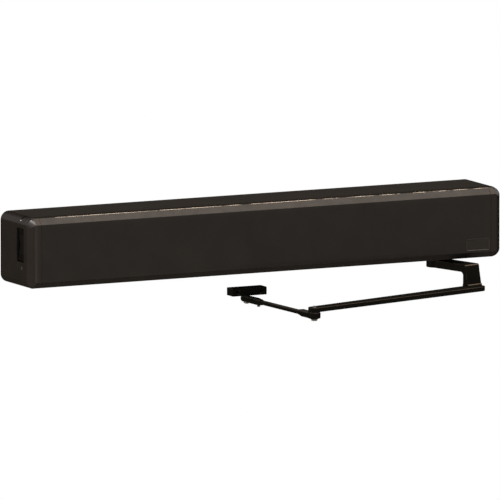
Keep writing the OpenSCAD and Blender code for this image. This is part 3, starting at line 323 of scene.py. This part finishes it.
def settle(piece):
    """Work a piece's place, turn and scale into its mesh."""
    take(piece)
    bpy.ops.object.transform_apply(location=True, rotation=True, scale=True)


def set_down(piece, place):
    """Put a piece that was made at the origin in its place on the object."""
    piece.matrix_world = place
    settle(piece)


def ring(name, radius, place, turn=(0, 0, 0), sides=64, fill="NOTHING"):
    """A flat circle, ready to be drawn out."""
    bpy.ops.object.select_all(action="DESELECT")
    bpy.ops.mesh.primitive_circle_add(
        vertices=sides, radius=radius, fill_type=fill, location=place, rotation=turn)
    piece = bpy.context.object
    piece.name = name
    settle(piece)
    return piece


def block(name, low, high):
    """A block between two corners, ready to be shaped."""
    low, high = Vector(low), Vector(high)
    bpy.ops.object.select_all(action="DESELECT")
    bpy.ops.mesh.primitive_cube_add(size=1, location=(low + high) / 2, scale=high - low)
    piece = bpy.context.object
    piece.name = name
    settle(piece)
    return piece


def extrude(offset):
    """In edit mode, draw out what is picked by an offset."""
    bpy.ops.mesh.extrude_region_move(TRANSFORM_OT_translate={"value": offset})


def face_outwards():
    """In edit mode, turn all faces the right way round."""
    bpy.ops.mesh.select_all(action="SELECT")
    bpy.ops.mesh.normals_make_consistent(inside=False)


def combine(piece, tool, operation):
    """Work one piece into another. It is used up."""
    step = piece.modifiers.new("combine", "BOOLEAN")
    step.operation = operation
    step.solver = "EXACT"
    step.object = tool
    take(piece)
    bpy.ops.object.modifier_apply(modifier=step.name)
    bpy.data.objects.remove(tool)


def cut(piece, tool):
    """Take the shape of a tool out of a piece."""
    combine(piece, tool, "DIFFERENCE")


def weld(piece, part):
    """Join a part to a piece."""
    combine(piece, part, "UNION")


cap_low, cap_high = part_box("right_end_cap")
cap_round = 0.0170
cap_bevel = 0.0128
crease_round = 0.0060

fan_radius = cap_round - 0.00003
fan_back = -0.1030
fan_bands = ((-0.1080, fan_radius - 0.00045), (-0.1129, fan_radius - 0.0014))
fan_wall = 0.0028
fan_centre = Vector((cap_high.x - cap_round, fan_back, cap_high.z - cap_round))
fan_point = Vector((cap_high.x - cap_bevel - 0.0002, cap_low.y + 0.0014, cap_high.z - cap_bevel))

fan = ring("fan", fan_radius, fan_centre, turn=(radians(90), 0, 0))
with editing(fan):
    pick("VERT", lambda point: min(point.co.x - fan_centre.x, point.co.z - fan_centre.z) < -0.0001)
    bpy.ops.mesh.delete(type="VERT")
    bpy.ops.mesh.select_all(action="SELECT")
    level, radius = fan_back, fan_radius
    for next_level, next_radius in fan_bands:
        extrude((0, next_level - level, 0))
        bpy.ops.transform.resize(
            value=(1, 1, next_radius / radius), center_override=(fan_centre.x, next_level, fan_centre.z))
        level, radius = next_level, next_radius
    # The last ring is drawn in to the point.
    extrude((0, fan_point.y - level, 0))
    bpy.ops.transform.resize(value=(0.002, 1, 0.002), center_override=fan_point)
    bpy.ops.mesh.merge(type="CENTER")
    face_outwards()
thick = fan.modifiers.new("wall", "SOLIDIFY")
thick.thickness = fan_wall
thick.offset = -1
take(fan)
bpy.ops.object.modifier_apply(modifier=thick.name)

slot_start = Vector((-0.4923, -0.08395, 0.0607))
slot_low = (0, 0, -0.0060)
slot_high = (0.0135, 0.0050, 0.0045)
slot_turn = radians(-22)
# Where the light spot is painted beside the slot, as a highlight on the slot's lower edge.
slot_glint_point = slot_start + Vector((0.0002, 0.0022, 0.0006))
cap_finish = powder_coat(
    "bronze powder coat on the caps", bronze, (0.62, 0.50, 0.40, 1), edge_wear_and_highlight=0.03, roughness=0.4,
    wiped=0.8, painted_glint_at=slot_glint_point)


def on_crease(middle):
    """Whether an edge is on the upright crease at the front of a cap."""
    beside = abs(abs(middle.x) - fan_point.x) < 0.0004
    return beside and middle.y < cap_low.y + 0.0003 and abs(middle.z) < 0.04


for node, name, side in (("left_end_cap", "end_cap_left", -1), ("right_end_cap", "end_cap_right", 1)):
    cap = copy_node(node, name)
    round_edges(cap, crease_round, steps=6, where=on_crease)
    round_edges(cap, 0.0008, steps=3)
    for upright in (1, -1):
        corner = copy_mesh(fan.data, "corner")
        corner.scale = (side, 1, upright)
        settle(corner)
        with editing(corner):
            face_outwards()
        weld(cap, corner)
    if side < 0:
        slot = block("slot", slot_low, slot_high)
        set_down(slot, Matrix.Translation(slot_start) @ Matrix.Rotation(slot_turn, 4, "Y"))
        cut(cap, slot)
    even_out(cap)
    finished(cap, cap_finish, "operator", "housing_paint", node)
bpy.data.objects.remove(fan)


# Screws, washers, bearings, pins and rings: bought parts, zinc plated inside the housing, blackened outside.
# They stay as the solids that the frame brings. The pin of the door shoe is rubbed to a dull bronze.

def bright_steel(name, colour, roughness):
    """Plated steel: small cloudy changes in the plating, fine turning marks and brighter worn edges."""
    steel = Finish(name)
    cloud = steel.grain(0.009, 3)
    marks = steel.grain(0.0009, 3, stretch=(1, 1, 0.12))
    rub = steel.edges(0.0004)
    dull = steel.shade(colour, 0.78 + 0.3 * cloud + 0.12 * marks)
    brighter = [min(1, 1.35 * part) for part in colour[:3]] + [1]
    return steel.surface(
        Base_Color=steel.mix(rub * 0.5, dull, brighter),
        Metallic=1.0,
        Roughness=roughness + 0.14 * cloud - 0.08 * rub,
        Normal=steel.relief(marks, 0.00001),
    )


def coat_nodes(finish, *names):
    """Give CAD nodes that stay as they are their finish."""
    for name in names:
        for holder in frame["nodes"][name].material_slots:
            holder.material = finish


zinc = bright_steel("zinc plated steel", (0.46, 0.45, 0.42, 1), 0.3)
coat_nodes(zinc, "end_cap_screws", "drive_frame_screws", "upper_bearing", "lower_bearing",
           "spindle", "retaining_rings", "stop_pins", "gearhead_screws", "output_shaft", "bracket_screws",
           "spring_seat", "spring_adjuster", "spring_plunger", "guide_screws", "board_screws")
coat_nodes(bright_steel("blackened steel", (0.016, 0.015, 0.013, 1), 0.42),
           "plate_screw", "hub_screw", "hub_washer", "elbow_washer", "clamp_screw")
coat_nodes(bright_steel("rubbed bronze steel", (0.13, 0.11, 0.09, 1), 0.36), "shoe_pin")


# Front cover: the long extruded cover that snaps over the channel, in the same powder coat.
# Along its upper edge at the seam a fine tan line is painted in: a painted highlight where that edge catches
# the light.

cover_low, cover_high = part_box("front_cover")
seam_line = 0.0005

cover_coat = Finish("bronze powder coat, painted edge highlight")
tone, pebble = powder(cover_coat)[1:]
# Painted highlight: a fine broken tan line, with less metal, along the top of the cover.
painted_edge_highlight = cover_coat.along("Z").between(cover_high.z - seam_line, cover_high.z - 0.6 * seam_line)
painted_edge_highlight = painted_edge_highlight * cover_coat.grain(0.03, 3, stretch=(1, 0.2, 0.2)).between(0.40, 0.60)
cover_finish = cover_coat.surface(
    Base_Color=cover_coat.mix(painted_edge_highlight, cover_coat.shade(bronze, tone), (0.62, 0.49, 0.38, 1)),
    Metallic=bronze_sheen - 0.3 * painted_edge_highlight,
    Roughness=0.35 + 0.1 * cover_coat.grain(0.02, 2),
    Normal=pebble,
    **no_gloss,
)
dress("front_cover", "cover_extrusion", 0.0003, cover_finish, "cover", "housing_paint")
coat_nodes(zinc, "cover_clips")


# Small bare plate on the front at the lower right: pressed aluminium in the colour of the cover.
# It is glued on, and its raised rim is rubbed lighter than its middle.

plate_centre = Vector((0.4426, cover_low.y, -0.0391))
plate_proud = 0.0007
plate_size = Vector((0.0492, 2 * plate_proud, 0.0226))
plate_corner = 0.0030
plate_rim = 0.0006
plate_sunk = 0.0003

plate = block("front_plate", plate_centre - plate_size / 2, plate_centre + plate_size / 2)
with editing(plate):
    pick("EDGE", lambda edge: abs(edge.verts[0].co.y - edge.verts[1].co.y) > plate_proud)
    bpy.ops.mesh.bevel(offset=plate_corner, segments=6, affect="EDGES")
    pick("FACE", lambda face: face.normal.y < -0.9)
    bpy.ops.mesh.inset(thickness=plate_rim, depth=0)
    bpy.ops.mesh.inset(thickness=plate_sunk, depth=-plate_sunk)
even_out(plate)

plate_coat = Finish("bare plate")


def near_rim(axis, middle, width):
    """1 on the two sides of the plate's rim that cross an axis, and 0 inside them."""
    away = abs(plate_coat.along(axis) - middle)
    return away.between(width / 2 - 2 * plate_rim, width / 2 - 0.0008)


rim = near_rim("Z", plate_centre.z, plate_size.z).most(near_rim("X", plate_centre.x, plate_size.x))
brushed = plate_coat.grain(0.0012, 2, stretch=(0.1, 1, 1))
plate_finish = plate_coat.surface(
    Base_Color=plate_coat.mix(
        rim, plate_coat.shade((0.024, 0.020, 0.017, 1), 0.8 + 0.4 * brushed), (0.045, 0.040, 0.035, 1)),
    Metallic=0.6,
    Roughness=0.36 + 0.08 * brushed,
    Normal=plate_coat.relief(brushed, 0.00001),
    **no_gloss,
)
finished(plate, plate_finish, "cover", "housing_paint")


# Switch in the left end cap: a coated steel plate held by one screw, and in it a black moulded rocker switch.
# The rocker has grip ribs at both ends and turns on its own pin.

def moulded(name, colour, grain_size, roughness, gloss=0.5):
    """Moulded plastic: spark-eroded grain, slight flow clouds and polished edges."""
    plastic = Finish(name)
    cloud = plastic.grain(0.02, 2)
    texture = plastic.grain(grain_size, 3)
    rub = plastic.edges(0.0005)
    return plastic.surface(
        Base_Color=plastic.shade(colour, 0.82 + 0.24 * cloud + 0.12 * texture + 0.3 * rub),
        Roughness=roughness + 0.1 * texture - 0.1 * rub,
        Normal=plastic.relief(texture, 0.000025),
        Specular_IOR_Level=gloss,
    )


black_plastic = moulded("black moulded plastic", (0.0078, 0.0068, 0.0058, 1), 0.0006, 0.42, gloss=0)
coat_nodes(black_plastic, "switch_body", "motor_rear_cover")
dress("switch_plate", "switch_cover_plate", 0.0003, housing_finish, "operator", "housing_paint")
dress("mode_rocker", "switch_rocker", 0.0004, black_plastic, "rocker", "black_plastic")


# Drive frame, gearhead, spring end plug and heat sink: aluminium, cast or extruded and bead blasted.
# The frame is one casting that carries the spindle bearings, the gearhead and the spring tube.

def blasted(name, colour):
    """Bead blasted aluminium: a fine dimpled skin, cloudy grey, brighter on its edges."""
    cast = Finish(name)
    cloud = cast.grain(0.03, 4)
    dimples = cast.node("ShaderNodeTexVoronoi", {}, {"Vector": cast.place(), "Scale": 1500.0})
    rub = cast.edges(0.0008)
    return cast.surface(
        Base_Color=cast.shade(cast.mix(rub * 0.6, colour, (0.7, 0.7, 0.69, 1)), 0.8 + 0.35 * cloud),
        Metallic=0.85,
        Roughness=0.5 + 0.15 * cloud - 0.12 * rub,
        Normal=cast.relief(dimples, 0.00004),
    )


aluminium = blasted("bead blasted aluminium", (0.42, 0.43, 0.44, 1))
coat_nodes(aluminium, "tube_end_plug", "heat_sink")
dress("drive_frame", "frame_casting", 0.0012, aluminium, "operator", "cast_aluminium")
dress("gearhead", "gearhead_case", 0.0008, aluminium, "operator", "cast_aluminium")


# Gears, rack, stop cam and return spring: dark oiled steel, cut or wound, and left unpainted.
# The rack squeezes the spring in its tube as the arm opens, and the spring drives the arm back.

def oiled_steel(name, colour):
    """Dark steel under a film of oil: cutting marks, darker clouds and bright worn edges."""
    gear = Finish(name)
    cloud = gear.grain(0.012, 4)
    marks = gear.grain(0.0007, 2, stretch=(1, 1, 0.15))
    rub = gear.edges(0.0005)
    return gear.surface(
        Base_Color=gear.mix(rub * 0.7, gear.shade(colour, 0.65 + 0.5 * cloud), (0.5, 0.48, 0.44, 1)),
        Metallic=1.0,
        Roughness=0.3 + 0.2 * cloud,
        Coat_Weight=0.2 * cloud,
        Normal=gear.relief(marks, 0.000015),
    )


gear_steel = oiled_steel("oiled gear steel", (0.2, 0.19, 0.175, 1))
coat_nodes(gear_steel, "bevel_gear", "rack_pinion", "stop_cam", "bevel_pinion", "rack")

spring = copy_node("return_spring", "return_spring_wire")
even_out(spring, 60)
finished(spring, gear_steel, "operator", "gear_steel", "return_spring")
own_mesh(spring)


# Motor and spring tube: drawn steel in dark grey enamel.
# The motor stands behind the gearhead, and the tube is held by the drive frame and by its own bracket.

def enamel(name, colour):
    """Dark enamel on steel, sprayed on: a faint orange peel with chips along the edges."""
    paint = Finish(name)
    peel = paint.grain(0.0022, 2)
    cloud = paint.grain(0.05, 2)
    chip = paint.edges(0.0006) * paint.grain(0.005, 4).between(0.5, 0.62)
    return paint.surface(
        Base_Color=paint.mix(chip, paint.shade(colour, 0.8 + 0.4 * cloud), (0.3, 0.3, 0.3, 1)),
        Metallic=0.8 * chip,
        Roughness=0.28 + 0.12 * cloud + 0.2 * chip,
        Normal=paint.relief(peel, 0.00003),
    )


motor_enamel = enamel("dark grey enamel", (0.03, 0.032, 0.036, 1))
dress("motor_body", "motor_can", 0.0006, motor_enamel, "operator", "motor_paint")
dress("spring_tube", "spring_housing", 0.0006, motor_enamel, "operator", "motor_paint")


# Bush of the spring tube and guide of the rack: machined brass, tarnished in patches.
# The bush is pressed into the tube's end, and the guide is held by two screws.

brass = Finish("machined brass")
tarnish = brass.grain(0.015, 4)
turning = brass.grain(0.0006, 1, stretch=(1, 0.1, 0.1))
coat_nodes(brass.surface(
    Base_Color=brass.mix(tarnish, (0.58, 0.42, 0.19, 1), (0.33, 0.21, 0.08, 1)),
    Metallic=1.0,
    Roughness=0.24 + 0.2 * tarnish - 0.08 * brass.edges(0.0005),
    Normal=brass.relief(turning, 0.00001),
), "tube_end_bush", "rack_guide")


# Bracket, power supply case and control tray: galvanised sheet steel, cut and folded.
# The zinc has frozen in spangles, each a little lighter or darker than the next.

galvanised = Finish("galvanised sheet")
spangle = galvanised.node("ShaderNodeTexVoronoi", {}, {"Vector": galvanised.place(), "Scale": 160.0}, "Color")
spangle = galvanised.node("ShaderNodeSeparateXYZ", {}, {"Vector": spangle}, "X")
sheet = galvanised.shade((0.5, 0.51, 0.52, 1), 0.78 + 0.26 * spangle)
coat_nodes(galvanised.surface(
    Base_Color=galvanised.mix(galvanised.edges(0.0004) * 0.6, sheet, (0.7, 0.7, 0.7, 1)),
    Metallic=0.95,
    Roughness=0.3 + 0.2 * spangle,
    Normal=galvanised.relief(galvanised.grain(0.004, 2), 0.00002),
), "support_bracket", "power_supply", "control_tray")


# Control electronics: a green board with blue relays, black capacitors and green plug-in terminals,
# and a cream terminal block for the mains.

board = Finish("green solder mask")
tracks = board.node("ShaderNodeTexVoronoi", {"feature": "DISTANCE_TO_EDGE"},
                    {"Vector": board.place((1, 1, 0.4)), "Scale": 260.0})
track = 1 - tracks.between(0.04, 0.09)
board_cloud = board.grain(0.03, 2)
mask = board.shade((0.010, 0.07, 0.024, 1), 0.8 + 0.4 * board_cloud)
coat_nodes(board.surface(
    Base_Color=board.mix(track * 0.6, mask, (0.03, 0.15, 0.05, 1)),
    Roughness=0.26 + 0.1 * board_cloud,
    Coat_Weight=0.3 + 0.2 * board_cloud,
    Normal=board.relief(track, 0.00004),
), "control_board")
coat_nodes(moulded("blue relay plastic", (0.02, 0.09, 0.32, 1), 0.0008, 0.3), "board_relays")
coat_nodes(moulded("black sleeve", (0.02, 0.02, 0.024, 1), 0.0015, 0.3), "board_capacitors")
coat_nodes(moulded("green terminal plastic", (0.045, 0.26, 0.09, 1), 0.0007, 0.4), "board_terminals")
coat_nodes(moulded("cream terminal plastic", (0.62, 0.58, 0.49, 1), 0.0008, 0.45), "mains_terminal_block")


# Crank of the arm: a steel forging with a hub on the spindle and a drop that carries the bar.
# The drop ends in a foot with a chamfered ledge. Dark coat over the forged skin, with a tan painted highlight
# along its edges and its upward slopes.

def turned(name, start, axis, steps, sides=64):
    """A round piece drawn out of a disc: each step gives a radius and a distance along the axis."""
    start, axis = Vector(start), Vector(axis).normalized()
    radius, reach = steps[0]
    turn = axis.to_track_quat("Z", "Y").to_euler()
    piece = ring(name, radius, start + axis * reach, turn, sides, fill="NGON")
    with editing(piece):
        bpy.ops.mesh.select_all(action="SELECT")
        for next_radius, next_reach in steps[1:]:
            extrude(axis * (next_reach - reach))
            bpy.ops.transform.resize(
                value=[next_radius / radius] * 3, center_override=start + axis * next_reach)
            radius, reach = next_radius, next_reach
        face_outwards()
    return piece


def bore(piece, mouth, axis, radius, depth, sides=48):
    """A drilled hole. The drill starts 1 mm before its mouth."""
    lead = 0.001
    start = Vector(mouth) - Vector(axis) * lead
    cut(piece, turned("bore", start, axis, ((radius, 0), (radius, lead + depth)), sides))


steel_coat = (0.0056, 0.0051, 0.0043, 1)
steel_sheen = 0.1
# The tan along the edges and on the upward slopes of this coat is a painted highlight.
arm_finish = powder_coat(
    "dark bronze coat on steel", steel_coat, (0.085, 0.062, 0.044, 1), edge_wear_and_highlight=0.9, roughness=0.36,
    sheen=steel_sheen, rubbed=0.9)

joint_place = {joint["name"]: Vector(joint["pos_m"]) for joint in frame["joints"] if joint.get("pos_m")}
spindle = joint_place["main_arm_swing"]
bar_lean = 15.92
arm_turn = radians(bar_lean - 90)
arm_place = Matrix.Translation((spindle.x, spindle.y, 0)) @ Matrix.Rotation(arm_turn, 4, "Z")

up = (0, 0, 1)
crank_low, crank_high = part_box("drop_crank")
crank_reach = 0.1115
crank_width = 0.0346
crank_top = -0.0740
crank_under = -0.0881
drop_back = crank_reach - 0.0210
drop_head = crank_reach - 0.0145
drop_front = crank_reach - 0.0075
slope_top = crank_top - 0.0025
drop_slope = (drop_front - drop_head) / (slope_top - crank_low.z)
drop_neck = drop_head + drop_slope * (slope_top - crank_under)
throat_round = 0.0070
foot_width = 0.0352
foot_low = (drop_back - 0.0008, -foot_width / 2, crank_low.z - 0.0012)
foot_high = (drop_front + 0.0017, foot_width / 2, crank_low.z + 0.0026)
foot_chamfer = 0.0013
hub_radius = 0.0206
hub_height = crank_high.z - crank_under
hub_chamfer = 0.0010
washer_recess = (0.0076, 0.0083)
screw_hole = (0.0043, 0.0150)
square_half = 0.0070
square_depth = 0.0140


def throat(edge):
    """Whether an edge is the inner corner between the crank's arm and its drop."""
    return all(abs(point.co.x - drop_back) < 0.0001 and abs(point.co.z - crank_under) < 0.0001
               for point in edge.verts)


crank = block("arm_crank", (0, -crank_width / 2, crank_under), (drop_back, crank_width / 2, crank_top))
with editing(crank):
    pick("FACE", lambda face: face.normal.x > 0.9)
    extrude((drop_head - drop_back, 0, 0))
    pick("VERT", lambda point: point.co.x > drop_head - 0.001 and point.co.z < crank_under + 0.001)
    bpy.ops.transform.translate(value=(drop_neck - drop_head, 0, 0))
    pick("FACE", lambda face: face.normal.z < -0.9 and face.calc_center_median().x > drop_back)
    extrude((0, 0, crank_low.z - crank_under))
    bpy.ops.transform.resize(
        value=((drop_front - drop_back) / (drop_neck - drop_back), foot_width / crank_width, 1),
        center_override=(drop_back, 0, crank_low.z))
    pick("EDGE", throat)
    bpy.ops.mesh.bevel(offset=throat_round, segments=8, affect="EDGES")

foot = block("foot", foot_low, foot_high)
with editing(foot):
    pick("EDGE", lambda edge: all(
        point.co.x > drop_front and point.co.z > crank_low.z + 0.001 for point in edge.verts))
    bpy.ops.mesh.bevel(offset=foot_chamfer, segments=1, affect="EDGES")
weld(crank, foot)

weld(crank, turned("hub", (0, 0, crank_under), up, (
    (hub_radius, 0), (hub_radius, hub_height - hub_chamfer), (hub_radius - hub_chamfer, hub_height))))
bore(crank, (0, 0, crank_under), up, *washer_recess)
bore(crank, (0, 0, crank_under), up, *screw_hole)
cut(crank, block("square", (-square_half, -square_half, crank_high.z - square_depth),
                 (square_half, square_half, crank_high.z + 0.001)))


def on_shoulder(middle):
    """Whether an edge is on top of the drop."""
    return middle.x > drop_head - 0.001 and middle.z > crank_top - 0.001


def clear_of_holes(middle):
    """Whether an edge is outside the holes of the hub and above the foot."""
    return middle.xy.length > 0.0085 and middle.z > crank_low.z + 0.0032


round_edges(crank, 0.0030, steps=4, where=on_shoulder)
round_edges(crank, 0.0012, steps=3, where=clear_of_holes)
even_out(crank)
set_down(crank, arm_place)
finished(crank, arm_finish, "main_arm", "arm_paint", "drop_crank")


# Main bar of the arm: flat bar stock, cut to a long taper with both ends round and its edges broken.
# It is welded to the drop of the crank, and the elbow pin passes through its narrow end.

bar_low, bar_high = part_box("main_arm_bar")
bar_thick = bar_high.z - bar_low.z
elbow = joint_place["elbow_swing"]
bar_length = ((elbow.xy - spindle.xy).length ** 2 - crank_reach ** 2) ** 0.5
bar_end = Vector((crank_reach, -bar_length, bar_low.z))
elbow_radius = 0.0116
crank_radius = 0.0173
crank_shift = 0.004
pin_radius = 0.0040

bar = ring("arm_bar", elbow_radius, bar_end, fill="NGON")
with editing(bar):
    pick("VERT", lambda point: point.co.y > 0.0001 - bar_length)
    bpy.ops.transform.translate(value=(0, bar_length - crank_shift, 0))
    bpy.ops.transform.resize(
        value=[crank_radius / elbow_radius] * 3, center_override=(crank_reach, -crank_shift, bar_low.z))
    bpy.ops.mesh.select_all(action="SELECT")
    extrude((0, 0, bar_thick))
    face_outwards()
bore(bar, bar_end, up, pin_radius, bar_thick + 0.001)
round_edges(bar, 0.0009, steps=3, where=lambda middle: (middle.xy - bar_end.xy).length > 0.005)
even_out(bar)
set_down(bar, arm_place)
finished(bar, arm_finish, "main_arm", "arm_paint", "main_arm_bar")


# Forearm: a round steel rod, screwed into a thick rod end whose forged eye turns on the elbow pin.
# The rod end tapers down to the rod, and all of it has the dark coat of the arm.

def rounded_disc(radius, height, edge):
    """The steps of a disc whose two rims are rounded."""
    turns = [radians(turn) for turn in (0, 30, 60, 90)]
    lower = [(radius - edge + edge * sin(turn), edge - edge * cos(turn)) for turn in turns]
    return lower + [(across, height - reach) for across, reach in reversed(lower)]


# The tan streaks on the upward slopes of the rod, eye, sleeve and collar, and their tan edges, are a painted
# highlight.
round_finish = powder_coat(
    "dark bronze coat on round steel", steel_coat, (0.050, 0.042, 0.035, 1), edge_wear_and_highlight=0.5, roughness=0.34,
    sheen=steel_sheen, rubbed=0.8)

shoe_pivot = joint_place["shoe_swivel"]
to_shoe = shoe_pivot - elbow
rod_span = to_shoe.xy.length
rod_height = shoe_pivot.z
rod_place = Matrix.Translation((elbow.x, elbow.y, 0)) @ Matrix.Rotation(atan2(to_shoe.y, to_shoe.x), 4, "Z")
along_rod = (1, 0, 0)
rod_radius = 0.0044
rod_end = rod_span - 0.017
fitting_radius = 0.0072
pin_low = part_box("elbow_pin")[0]
eye_floor = pin_low.z + 0.0047
eye_radius = 0.01168
eye_height = 0.0115
eye_edge = 0.0018

forearm = turned("forearm", (0, 0, rod_height), along_rod, (
    (0.0056, 0.009), (fitting_radius - 0.0003, 0.0152), (fitting_radius, 0.018), (fitting_radius, 0.043),
    (fitting_radius - 0.0004, 0.045), (rod_radius + 0.0003, 0.059), (rod_radius, 0.061),
    (rod_radius, rod_end)))
weld(forearm, turned("eye", (0, 0, eye_floor), up, rounded_disc(eye_radius, eye_height, eye_edge)))
bore(forearm, (0, 0, eye_floor), up, pin_radius + 0.00004, eye_height + 0.001)
round_edges(forearm, 0.0008, steps=3, sharper_than=32)
even_out(forearm, 40)
set_down(forearm, rod_place)
finished(forearm, round_finish, "forearm", "arm_paint", "forearm_rod")


# Elbow pin: a turned steel pin on which the eye of the forearm hangs, riveted over on top of the bar.
# The dark coat is rubbed off the lower half of its head and off the riveted end.

pin_foot = (elbow.x, elbow.y, pin_low.z)
pin_head = 0.0046
pin_shank = pin_radius - 0.00005
pin_top = bar_high.z - pin_low.z
hexagon_radius = 0.0030
hexagon_depth = 0.0024
elbow_pivot = turned("elbow_pivot", pin_foot, up, (
    (0.0046, 0), (0.0053, 0.0003), (0.0058, 0.0010), (0.0060, 0.0027), (0.0066, 0.0031), (0.0074, 0.0034),
    (0.0076, 0.0038), (0.0076, pin_head), (pin_shank, pin_head), (pin_shank, pin_top),
    (0.0036, pin_top + 0.0003), (0.0034, pin_top + 0.0017), (0.0024, pin_top + 0.0024)))
bore(elbow_pivot, pin_foot, up, hexagon_radius, hexagon_depth, sides=6)
even_out(elbow_pivot, 40)

pin_steel = Finish("coated steel, rubbed on its head")
height = pin_steel.along("Z")
bright = 1 - height.between(pin_low.z + 0.0027, pin_low.z + 0.0033)
bright = bright + height.between(bar_high.z - 0.0002, bar_high.z + 0.0003)
pin_marks = pin_steel.grain(0.0009, 3, stretch=(1, 1, 0.12))
pin_colour = pin_steel.mix(bright, (0.010, 0.009, 0.008, 1), (0.11, 0.094, 0.079, 1))
pin_finish = pin_steel.surface(
    Base_Color=pin_steel.shade(pin_colour, 0.8 + 0.4 * pin_marks),
    Metallic=1.0,
    Roughness=0.32 + 0.12 * pin_marks,
    Normal=pin_steel.relief(pin_marks, 0.00001),
)
finished(elbow_pivot, pin_finish, "main_arm", "bright_steel", "elbow_pin")


# Sleeve and clamp collar: turned steel. The rod slides in them to set the length of the forearm,
# the collar grips it with its screw, and the sleeve turns on the pin of the door shoe.

collar_start = rod_span - 0.058
collar_end = collar_start + 0.029
collar_radius = 0.0071
collar_groove = 0.0014
sleeve_end = rod_span + 0.0139
sleeve_radius = 0.0070
slide_radius = rod_radius + 0.00005
clamp_place = collar_start + 0.013
clamp_radius = 0.0020
clamp_depth = 0.0110

sleeve = turned("sleeve_turned", (0, 0, rod_height), along_rod, (
    (sleeve_radius - 0.0006, collar_end), (sleeve_radius, collar_end + 0.0006),
    (sleeve_radius, sleeve_end - 0.0022), (sleeve_radius - 0.0006, sleeve_end - 0.0010),
    (sleeve_radius - 0.0020, sleeve_end)))
bore(sleeve, (collar_end, 0, rod_height), along_rod, slide_radius, sleeve_end - collar_end + 0.001)
even_out(sleeve, 40)
set_down(sleeve, rod_place)
finished(sleeve, round_finish, "sleeve", "arm_paint", "pivot_sleeve")

collar = turned("collar_turned", (0, 0, rod_height), along_rod, (
    (rod_radius + 0.0006, collar_start), (rod_radius + 0.0012, collar_start + 0.0008),
    (collar_radius - 0.0003, collar_start + 0.0125), (collar_radius, collar_start + 0.0150),
    (collar_radius, collar_end - 0.0034), (collar_radius - collar_groove, collar_end - 0.0026),
    (collar_radius - collar_groove, collar_end)))
bore(collar, (collar_start, 0, rod_height), along_rod, slide_radius, collar_end - collar_start + 0.001)
bore(collar, (clamp_place, 0, rod_height - clamp_depth), up, clamp_radius, clamp_depth)
even_out(collar, 40)
set_down(collar, rod_place)
finished(collar, round_finish, "sleeve", "arm_paint", "clamp_collar")


# Door shoe: a steel block in the coat of the arm, screwed to the face of the door.
# Two countersunk holes take its screws. The pin that carries the sleeve hangs from the block.

shoe_low, shoe_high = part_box("door_shoe")
shoe_middle = (shoe_low + shoe_high) / 2
screw_offset = 0.025
sink_radius = 0.0057
sink_depth = 0.003
hole_radius = 0.0027

shoe = block("shoe_block", shoe_low, shoe_high)
for side in (-1, 1):
    mouth = (shoe_middle.x + side * screw_offset, shoe_low.y - 0.001, shoe_middle.z)
    cut(shoe, turned("drill", mouth, (0, 1, 0), (
        (sink_radius, 0), (hole_radius, sink_depth), (hole_radius, 0.030)), sides=40))


def beside_screws(middle):
    """Whether an edge is clear of the two screw holes."""
    aside = abs(abs(middle.x - shoe_middle.x) - screw_offset)
    return aside + abs(middle.z - shoe_middle.z) > 0.0075


round_edges(shoe, 0.0012, steps=3, where=beside_screws)
even_out(shoe)
finished(shoe, arm_finish, "shoe", "arm_paint", "door_shoe")


# Room: a plain pale floor well below the object, a dim surround that is seen as white, and four soft lamps.
# One is overhead, one lights the fan of the left corner, one the left end, and one the left cap's crease.

floor_height = -1.9
floor_size = (9, 8, 1)
surround_light = 0.16
lamp_distance = 3

bpy.ops.object.select_all(action="DESELECT")
bpy.ops.mesh.primitive_grid_add(x_subdivisions=4, y_subdivisions=4, size=1, location=(0, 0, floor_height))
floor = bpy.context.object
floor.name = "floor"
floor.scale = floor_size
settle(floor)
pale = Finish("pale floor")
floor.data.materials.append(pale.surface(
    Base_Color=pale.shade((0.8, 0.8, 0.79, 1), 0.97 + 0.06 * pale.grain(0.4, 2)), Roughness=0.9))

white = (1, 1, 1, 1)
room = Finish("studio", bpy.data.worlds)
bpy.context.scene.world = room.owner
ray_kinds = [room.node("ShaderNodeLightPath", {}, {}, "Is %s Ray" % kind)
             for kind in ("Camera", "Glossy", "Transmission")]
room_shown = ray_kinds[0].most(ray_kinds[1]).most(ray_kinds[2])
room_light = room.node("ShaderNodeBackground", {}, {"Color": white, "Strength": surround_light})
room_wall = room.nodes["Background"]
room.plug(room_wall.inputs["Color"], white)
room.plug(room.nodes["World Output"].inputs["Surface"], room.node(
    "ShaderNodeMixShader", {}, {0: room_shown, 1: room_light, 2: Wire(room, room_wall.outputs[0])}))

for name, towards, spread, strength in (
        ("overhead lamp", (0.445, -0.139, 0.885), 28, 3.1),
        ("corner lamp", (-0.14, -0.34, 0.93), 30, 2.2),
        ("side lamp", (-0.92, 0.38, 0.03), 30, 2.4),
        ("crease lamp", (-0.14, -0.98, -0.14), 6, 0.55)):
    lamp = bpy.data.lights.new(name, "SUN")
    lamp.angle = radians(spread)
    lamp.energy = strength
    stand = bpy.data.objects.new(name, lamp)
    stand.rotation_euler = Vector(towards).to_track_quat("Z", "Y").to_euler()
    stand.location = Vector(towards) * lamp_distance
    bpy.context.scene.collection.objects.link(stand)


# Camera: a long lens from the left and slightly above, as the photograph was taken.
# It stands far off, so that the housing's long edges stay almost parallel.

azimuth = radians(-26.42)
elevation = radians(8.09)
distance = 41.74
aim = Vector((-0.0054, -0.0631, -0.0295))
back = Vector((sin(azimuth) * cos(elevation), -cos(azimuth) * cos(elevation), sin(elevation)))
camera = bpy.data.cameras.new("camera")
camera.sensor_width = 36
camera.lens = 1600
camera.clip_end = 100
viewer = bpy.data.objects.new("camera", camera)
viewer.location = aim + back * distance
viewer.rotation_euler = back.to_track_quat("Z", "Y").to_euler()
bpy.context.scene.collection.objects.link(viewer)
bpy.context.scene.camera = viewer
bpy.context.scene.view_settings.view_transform = "Standard"
